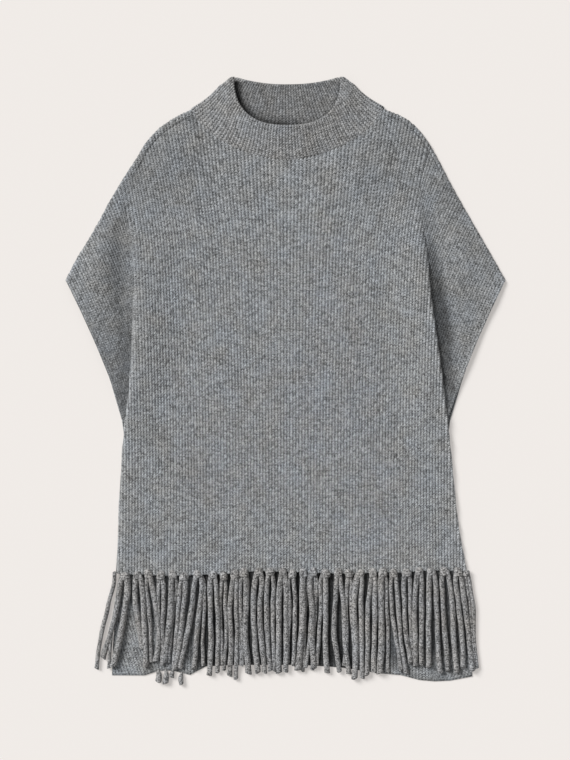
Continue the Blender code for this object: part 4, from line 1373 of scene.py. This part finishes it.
# --- the fringe ---


def wander(seed, t):
    """A small smooth sideways wander along a strand."""
    return np.sin(5.1 * t + 2.3 * seed) * 0.6 + np.sin(11.7 * t + 4.1 * seed) * 0.4


def add_tube(cloth, seed, path, girth):
    """A soft round strip along a path, with an open end: a lip round a hollow."""
    along = unit(np.gradient(path, axis=0))
    side = unit(np.cross(along, [0, 0, 1.0]))
    up = np.cross(side, along)
    angle = np.linspace(0, 2 * math.pi, STRAND_SIDES + 1)[:-1]
    turn = seed + 9.0 * np.linspace(0, 1, len(path))[:, None]
    lobes = 1 + 0.05 * np.cos(2 * angle[None, :] + turn) + 0.03 * np.cos(3 * angle - 2 * turn)
    ring = (girth[:, None] * lobes)[..., None] * (
        np.cos(angle)[None, :, None] * side[:, None] + np.sin(angle)[None, :, None] * up[:, None]
    )
    ring[..., 2] *= 0.96
    points = path[:, None] + ring
    tilt = 0.35 * girth[-1] * np.cos(angle + 2.4 * seed)
    points[-1] += along[-1] * tilt[:, None]
    ends = [points[-1] + along[-1] * girth[-1] * out - ring[-1] * inwards for out, inwards in END_RINGS]
    points = np.concatenate([points, ends])
    points[..., 2] = np.maximum(points[..., 2], 0.0005)
    index = cloth.add_points(points)
    around = np.arange(STRAND_SIDES + 1) % STRAND_SIDES
    lengths = np.r_[0, np.cumsum(np.linalg.norm(np.diff(path, axis=0), axis=1))]
    lengths = np.r_[lengths, lengths[-1] + 0.001 * np.arange(1, len(END_RINGS) + 1)]
    u = np.linspace(0, 3, STRAND_SIDES + 1) + 8 * math.floor(9 * seed)
    cloth.add_grid(index[:, around], np.stack(np.broadcast_arrays(u[None], lengths[:, None]), 2))
    for ring_index, at, flip in ((index[0], path[0], True), (index[-1], ends[-1].mean(0), False)):
        middle = int(cloth.add_points(at[None])[0])
        for a, b in zip(ring_index, np.roll(ring_index, -1)):
            face = (a, b, middle) if flip else (b, a, middle)
            cloth.add_face(face, [(u[0], 0.0)] * 3)


def add_strand(cloth, seed, strand):
    """A strand from its knot down to its end, on the back or over its edge down to the floor."""
    top = float(front_hem(strand.root)) - 0.001
    stops_y = [top + 0.002, top - 0.0075, STRAND_UPPER, STRAND_LOWER, strand.end]
    knot = min(KNOTS, key=lambda k: abs(k.x - strand.root))
    start = strand.root + (knot.x - strand.root) * 0.45
    stops_x = [start, strand.root, strand.upper, strand.lower, strand.tip]
    t = np.linspace(0, 1, STRAND_RINGS)
    y = stops_y[0] + (strand.end - stops_y[0]) * t
    x = hermite(np.array(stops_y)[::-1], np.array(stops_x)[::-1], y)
    radius = strand.width / 2
    low = LAYER_DROP * strand.layer
    rest = max(BACK_TOP + 0.0042 + 0.0004 * math.sin(37 * seed) - low, BACK_TOP + radius * 0.9)
    high = rest + 0.0007 * wander(seed + 7, t) + (KNOT_Z - 0.0018 - low - rest) * smooth(1 - t / 0.10)
    # Outside the back the strand sinks towards the floor
    outside = np.maximum(curve_straight(BACK_SIDES, "left", y) - x, 0)
    outside = np.maximum(outside, x - curve_straight(BACK_SIDES, "right", y))
    outside = np.maximum(outside, curve_straight(BACK_HEM, "y", x, "x") - y)
    high = high - (rest - radius) * 0.75 * smooth(outside / 0.012)
    x = x + 0.0005 * wander(seed, 2.0 * t) * smooth(5 * t)
    path = np.stack([x, y, high], 1)
    girth = radius * (1 + 0.05 * wander(seed + 3, 2.3 * t))
    girth *= 0.90 + 0.10 * smooth(t / 0.12)
    girth *= 1 + 0.10 * smooth((t - 0.94) / 0.06)
    add_tube(cloth, seed, path, girth)


def add_tail(cloth, seed, tail):
    """The end of a strand that comes out from under the back's hem."""
    hem = float(curve_straight(BACK_HEM, "y", tail.x, "x"))
    t = np.linspace(0, 1, 9)
    y = hem + 0.004 + (tail.end - hem - 0.004) * t
    grow = 0.22 + 0.78 * smooth(t / 0.55)
    girth = tail.width / 2 * grow
    x = tail.x + 0.0007 * np.sin(6 * t + seed)
    add_tube(cloth, seed, np.stack([x, y, girth + 0.0003], 1), girth)


def add_knot(cloth, seed, knot):
    """The lump that a looped strip makes where it is drawn through the hem."""
    polar = np.linspace(0.02, math.pi - 0.02, 13)
    turn = np.linspace(0, 2 * math.pi, 19)[:-1]
    wide = KNOT_WIDE * knot.size * (1 + 0.07 * math.sin(3.7 * seed))
    tall = (KNOT_TALL + 0.0005 * math.sin(5.3 * seed)) * (0.3 + 0.7 * knot.size)
    bulge = np.sin(polar)[:, None] ** 0.6 * (0.90 - 0.14 * np.cos(polar)[:, None])
    bump = 1 + 0.06 * np.cos(2 * turn[None, :] + seed) + 0.04 * np.cos(3 * polar[:, None] + seed)
    lean = 0.0009 * math.sin(2.9 * seed)
    grid = np.zeros((len(polar), len(turn), 3))
    grid[..., 0] = knot.x + wide * np.cos(turn) * bulge * bump + lean * np.cos(polar)[:, None]
    grid[..., 1] = knot.y - 0.0014 + tall * np.cos(polar)[:, None]
    # A soft crease across the lump, where the loop closes over the strip's two ends
    crease = 0.0004 * bell(polar - 1.7, 0.20)[:, None]
    grid[..., 2] = KNOT_Z - 0.0022 + (KNOT_DEEP * bump - crease) * bulge * np.sin(turn)[None, :]
    index = cloth.add_points(grid)
    around = np.arange(len(turn) + 1) % len(turn)
    knit = np.zeros(index[:, around].shape + (2,))
    knit[..., 0] = np.linspace(0, 3, len(turn) + 1)[None, :] + 8 * (3000 + seed)
    knit[..., 1] = np.linspace(0, 0.012, len(polar))[:, None]
    cloth.add_grid(index[:, around], knit)
    for ring_index, flip in ((index[0], False), (index[-1], True)):
        cloth.faces.append(ring_index[::-1] if flip else ring_index)
        cloth.knit.append(np.tile([8.0 * (3000 + seed), 0.0], (len(turn), 1)))


def build_fringe():
    """All knots, strands and tips as one piece."""
    cloth = Cloth()
    for seed, knot in enumerate(KNOTS):
        add_knot(cloth, seed + 1, knot)
    for seed, strand in enumerate(STRANDS):
        add_strand(cloth, 1.37 * seed + 1, strand)
    for seed, tail in enumerate(TAILS):
        add_tail(cloth, 211.3 + seed, tail)
    return cloth.make("fringe_strands")


# --- materials ---


class Nodes:
    """Adds shader nodes to a material and joins them."""

    def __init__(self, name):
        self.material = bpy.data.materials.new(name)
        self.material.use_nodes = True
        self.tree = self.material.node_tree
        self.shader = self.tree.nodes["Principled BSDF"]

    def add(self, kind, **settings):
        node = self.tree.nodes.new(kind)
        for name, value in settings.items():
            setattr(node, name, value)
        return node

    def put(self, socket, value):
        if isinstance(value, bpy.types.NodeSocket):
            self.tree.links.new(value, socket)
        else:
            socket.default_value = value

    def math(self, operation, *values):
        node = self.add("ShaderNodeMath", operation=operation)
        for socket, value in zip(node.inputs, values):
            self.put(socket, value)
        return node.outputs[0]

    def noise(self, vector, scale, detail=2.0, rough=0.6):
        node = self.add("ShaderNodeTexNoise")
        self.put(node.inputs["Vector"], vector)
        node.inputs["Scale"].default_value = scale
        node.inputs["Detail"].default_value = detail
        node.inputs["Roughness"].default_value = rough
        return node.outputs["Fac"]

    def term(self, value, middle, weight):
        """A pattern's share of a sum, by how far it is from its middle."""
        return self.math("MULTIPLY", self.math("SUBTRACT", value, middle), weight)

    def specks(self, vector, scale):
        """One random value for each small irregular cell."""
        node = self.add("ShaderNodeTexVoronoi")
        self.put(node.inputs["Vector"], vector)
        node.inputs["Scale"].default_value = scale
        split = self.add("ShaderNodeSeparateColor")
        self.put(split.inputs[0], node.outputs["Color"])
        return split.outputs[0]


def stitch_maps(made, u, v, stitch_length, slant):
    """The knit's own patterns from its coordinates, rib number and metres along the rib.

    Gives the distance from the rib's crest, 0 there and 0.5 in the groove, the loops as a wave
    along the rib, and one random value for each stitch.
    """
    wrapped = made.math("FRACT", made.math("ADD", u, 0.5))
    from_crest = made.math("ABSOLUTE", made.math("SUBTRACT", wrapped, 0.5))
    course = made.math("DIVIDE", v, stitch_length)
    slanted = made.math("ADD", course, made.math("MULTIPLY", from_crest, slant))
    loops = made.math("SINE", made.math("MULTIPLY", slanted, 2 * math.pi))
    cell = made.add("ShaderNodeCombineXYZ")
    made.put(cell.inputs[0], made.math("FLOOR", made.math("ADD", u, 0.5)))
    made.put(cell.inputs[1], made.math("FLOOR", made.math("MULTIPLY", slanted, 2.0)))
    stitches = made.add("ShaderNodeTexWhiteNoise", noise_dimensions="2D")
    made.put(stitches.inputs["Vector"], cell.outputs[0])
    return from_crest, loops, stitches.outputs["Value"]


def groove_shade(made, tone, from_crest):
    """Paints shade into the grooves between the ribs; where the ribs are drawn flat it evens out."""
    groove = made.math("SMOOTH_MIN", made.math("MULTIPLY", from_crest, 2.0), 1.0, 0.2)
    groove = made.math("MULTIPLY", made.math("POWER", groove, 2.0), GROOVE_SHADE)
    shown = made.add("ShaderNodeAttribute", attribute_name="ribs").outputs["Fac"]
    even = made.math("SUBTRACT", groove, FLAT_GROOVE_SHADE)
    groove = made.math("MULTIPLY_ADD", even, shown, FLAT_GROOVE_SHADE)
    return made.math("SUBTRACT", tone, groove)


def strand_tone(made, tone, u):
    """Gives each strand its own depth of grey; their rib numbers start 8 apart."""
    strand = made.math("FLOOR", made.math("DIVIDE", made.math("ADD", u, 0.5), 8.0))
    own = made.add("ShaderNodeTexWhiteNoise", noise_dimensions="1D")
    made.put(own.inputs["W"], strand)
    return made.math("ADD", tone, made.term(own.outputs["Value"], 0.5, STRAND_TONE))


def yarn_colour(made, colour, patches, tone):
    """The yarn's colour, warmer and cooler in patches, at its tone."""
    warm = made.add("ShaderNodeMix", data_type="RGBA")
    share = made.math("MULTIPLY_ADD", made.term(patches, 0.5, WARM_WEIGHT), 1.0, 0.5)
    made.put(warm.inputs["Factor"], share)
    for socket, tint in ((warm.inputs[6], WARM), (warm.inputs[7], COOL)):
        socket.default_value = (*[part * times for part, times in zip(colour, tint)], 1.0)
    shade = made.add("ShaderNodeVectorMath", operation="SCALE")
    made.put(shade.inputs[0], warm.outputs[2])
    made.put(shade.inputs["Scale"], tone)
    made.put(made.shader.inputs["Base Color"], shade.outputs[0])


def yarn_nap(made, loops, flecks, fibres):
    """The yarn's small relief, and the way that wool takes the light."""
    height = made.math("ADD", made.math("MULTIPLY", loops, 0.5), made.math("MULTIPLY", flecks, 1.2))
    height = made.math("ADD", height, made.math("MULTIPLY", fibres, 0.5))
    bump = made.add("ShaderNodeBump")
    bump.inputs["Strength"].default_value = NAP_STRENGTH
    bump.inputs["Distance"].default_value = NAP_HEIGHT
    made.put(bump.inputs["Height"], height)
    made.put(made.shader.inputs["Normal"], bump.outputs[0])
    made.shader.inputs["Roughness"].default_value = 0.95
    made.shader.inputs["Specular IOR Level"].default_value = 0.15
    made.shader.inputs["Sheen Weight"].default_value = 0.12
    made.shader.inputs["Sheen Roughness"].default_value = 0.6


def yarn_material(name, colour, stitch_length, yarn):
    """Melange wool: stitches along the ribs, flecks of light and dark fibre, a soft nap."""
    made = Nodes(name)
    uv = made.add("ShaderNodeUVMap", uv_map="knit").outputs["UV"]
    split = made.add("ShaderNodeSeparateXYZ")
    made.put(split.inputs[0], uv)
    u, v = split.outputs[0], split.outputs[1]
    from_crest, loops, stitches = stitch_maps(made, u, v, stitch_length, yarn.slant)

    place = made.add("ShaderNodeTexCoord").outputs["Object"]
    flecks = made.noise(place, FLECKS_SCALE)
    fibres = made.noise(place, FIBRES_SCALE)
    specks = made.specks(place, SPECKS_SCALE)
    patches = made.noise(place, PATCHES_SCALE, 3.0)
    stretched = made.add("ShaderNodeMapping")
    stretched.inputs["Scale"].default_value = (BARS_STRETCH, 1.0, 1.0)
    made.put(stretched.inputs["Vector"], place)
    bars = made.noise(stretched.outputs[0], BARS_SCALE)

    tone = yarn.tone
    for pattern, middle, weight in (
        (flecks, 0.5, yarn.flecks),
        (specks, 0.5, yarn.specks),
        (fibres, 0.5, yarn.fibres),
        (stitches, 0.5, yarn.stitches),
        (patches, 0.5, yarn.patches),
        (bars, 0.5, yarn.bars),
        (loops, 0.0, yarn.loops),
    ):
        tone = made.math("ADD", tone, made.term(pattern, middle, weight))
    tone = groove_shade(made, tone, from_crest) if yarn.ribbed else strand_tone(made, tone, u)
    tone = made.math("MINIMUM", made.math("MAXIMUM", tone, DARKEST), LIGHTEST)
    if yarn.ribbed:
        # Painted shade and painted light from each piece's shade attribute
        painted_shade = made.add("ShaderNodeAttribute", attribute_name="shade")
        tone = made.math("MULTIPLY", tone, painted_shade.outputs["Fac"])
    yarn_colour(made, colour, patches, tone)
    yarn_nap(made, loops, flecks, fibres)
    return made.material


# --- operators ---


class PONCHO_OT_back(bpy.types.Operator):
    """Knit the long back panel, which lies on the floor"""

    bl_idname = "poncho.back"
    bl_label = "Back panel"

    def execute(self, context):
        settings = context.scene.poncho
        piece = build_back(settings)
        yarn = yarn_material("back_rib_knit", settings.knit_colour, settings.stitch_length, RIBBED_YARN)
        finish_piece(piece, "back", yarn)
        return {"FINISHED"}


class PONCHO_OT_front(bpy.types.Operator):
    """Knit the front panel with its wings and folds"""

    bl_idname = "poncho.front"
    bl_label = "Front panel"

    def execute(self, context):
        settings = context.scene.poncho
        piece = build_front(settings)
        yarn = yarn_material("front_rib_knit", settings.knit_colour, settings.stitch_length, RIBBED_YARN)
        finish_piece(piece, "front", yarn)
        return {"FINISHED"}


class PONCHO_OT_neck(bpy.types.Operator):
    """Knit the funnel neck"""

    bl_idname = "poncho.neck"
    bl_label = "Funnel neck"

    def execute(self, context):
        settings = context.scene.poncho
        piece = build_neck(settings)
        yarn = yarn_material("neck_rib_knit", settings.neck_colour, settings.stitch_length, RIBBED_YARN)
        finish_piece(piece, "neck_band", yarn)
        return {"FINISHED"}


class PONCHO_OT_fringe(bpy.types.Operator):
    """Roll and knot the strands of the fringe"""

    bl_idname = "poncho.fringe"
    bl_label = "Fringe"

    def execute(self, context):
        settings = context.scene.poncho
        piece = build_fringe()
        yarn = yarn_material("fringe_rolled_knit", settings.fringe_colour, STRAND_STITCH, ROLLED_YARN)
        finish_piece(piece, "fringe", yarn)
        return {"FINISHED"}


class PONCHO_OT_stage(bpy.types.Operator):
    """Lay the floor, light it from the upper left and look straight down"""

    bl_idname = "poncho.stage"
    bl_label = "Stage"

    def execute(self, context):
        settings = context.scene.poncho
        bpy.ops.mesh.primitive_plane_add(size=2 * FLOOR_HALF)
        floor = context.object
        floor.name = "floor"
        paper = Nodes("pale_paper")
        matt = [value * (1 - FLOOR_GLOW) for value in settings.floor_colour]
        paper.shader.inputs["Base Color"].default_value = (*matt, 1.0)
        paper.shader.inputs["Emission Color"].default_value = (*settings.floor_colour, 1.0)
        paper.shader.inputs["Emission Strength"].default_value = FLOOR_GLOW
        paper.shader.inputs["Roughness"].default_value = 1.0
        paper.shader.inputs["Specular IOR Level"].default_value = 0.0
        floor.data.materials.append(paper.material)

        bpy.ops.object.light_add(type="SUN")
        key = context.object
        key.name = "key_light"
        key.data.energy = settings.key_light
        key.data.angle = math.radians(KEY_SPREAD)
        key.rotation_euler = (math.radians(KEY_TILT), 0.0, math.radians(KEY_TURN))
        world = bpy.data.worlds.new("soft_room")
        world.use_nodes = True
        background = world.node_tree.nodes["Background"]
        background.inputs["Color"].default_value = (1.0, 1.0, 1.0, 1.0)
        background.inputs["Strength"].default_value = settings.sky_light
        context.scene.world = world

        bpy.ops.object.camera_add(location=(CAMERA_X, 0.0, CAMERA_HEIGHT), rotation=(0.0, 0.0, 0.0))
        camera = context.object
        camera.name = "overhead_camera"
        camera.data.lens = LENS_MM
        camera.data.sensor_width = SENSOR_MM
        context.scene.camera = camera
        context.scene.view_settings.view_transform = "Standard"
        return {"FINISHED"}


class PONCHO_PT_panel(bpy.types.Panel):
    """Settings and pieces of the poncho sweater"""

    bl_idname = "PONCHO_PT_panel"
    bl_label = "Poncho Sweater"
    bl_space_type = "VIEW_3D"
    bl_region_type = "UI"
    bl_category = "Poncho"

    def draw(self, context):
        settings = context.scene.poncho
        for name in PonchoSettings.__annotations__:
            self.layout.prop(settings, name)
        for operator in OPERATORS:
            self.layout.operator(operator.bl_idname)


OPERATORS = (PONCHO_OT_fringe, PONCHO_OT_back, PONCHO_OT_front, PONCHO_OT_neck, PONCHO_OT_stage)
CLASSES = (PonchoSettings, *OPERATORS, PONCHO_PT_panel)


def register():
    for made in CLASSES:
        bpy.utils.register_class(made)
    bpy.types.Scene.poncho = bpy.props.PointerProperty(type=PonchoSettings)


def unregister():
    del bpy.types.Scene.poncho
    for made in reversed(CLASSES):
        bpy.utils.unregister_class(made)


def main():
    register()
    bpy.ops.object.select_all(action="DESELECT")
    bpy.ops.poncho.fringe()
    bpy.ops.poncho.back()
    bpy.ops.poncho.front()
    bpy.ops.poncho.neck()
    bpy.ops.poncho.stage()


if __name__ == "__main__":
    main()
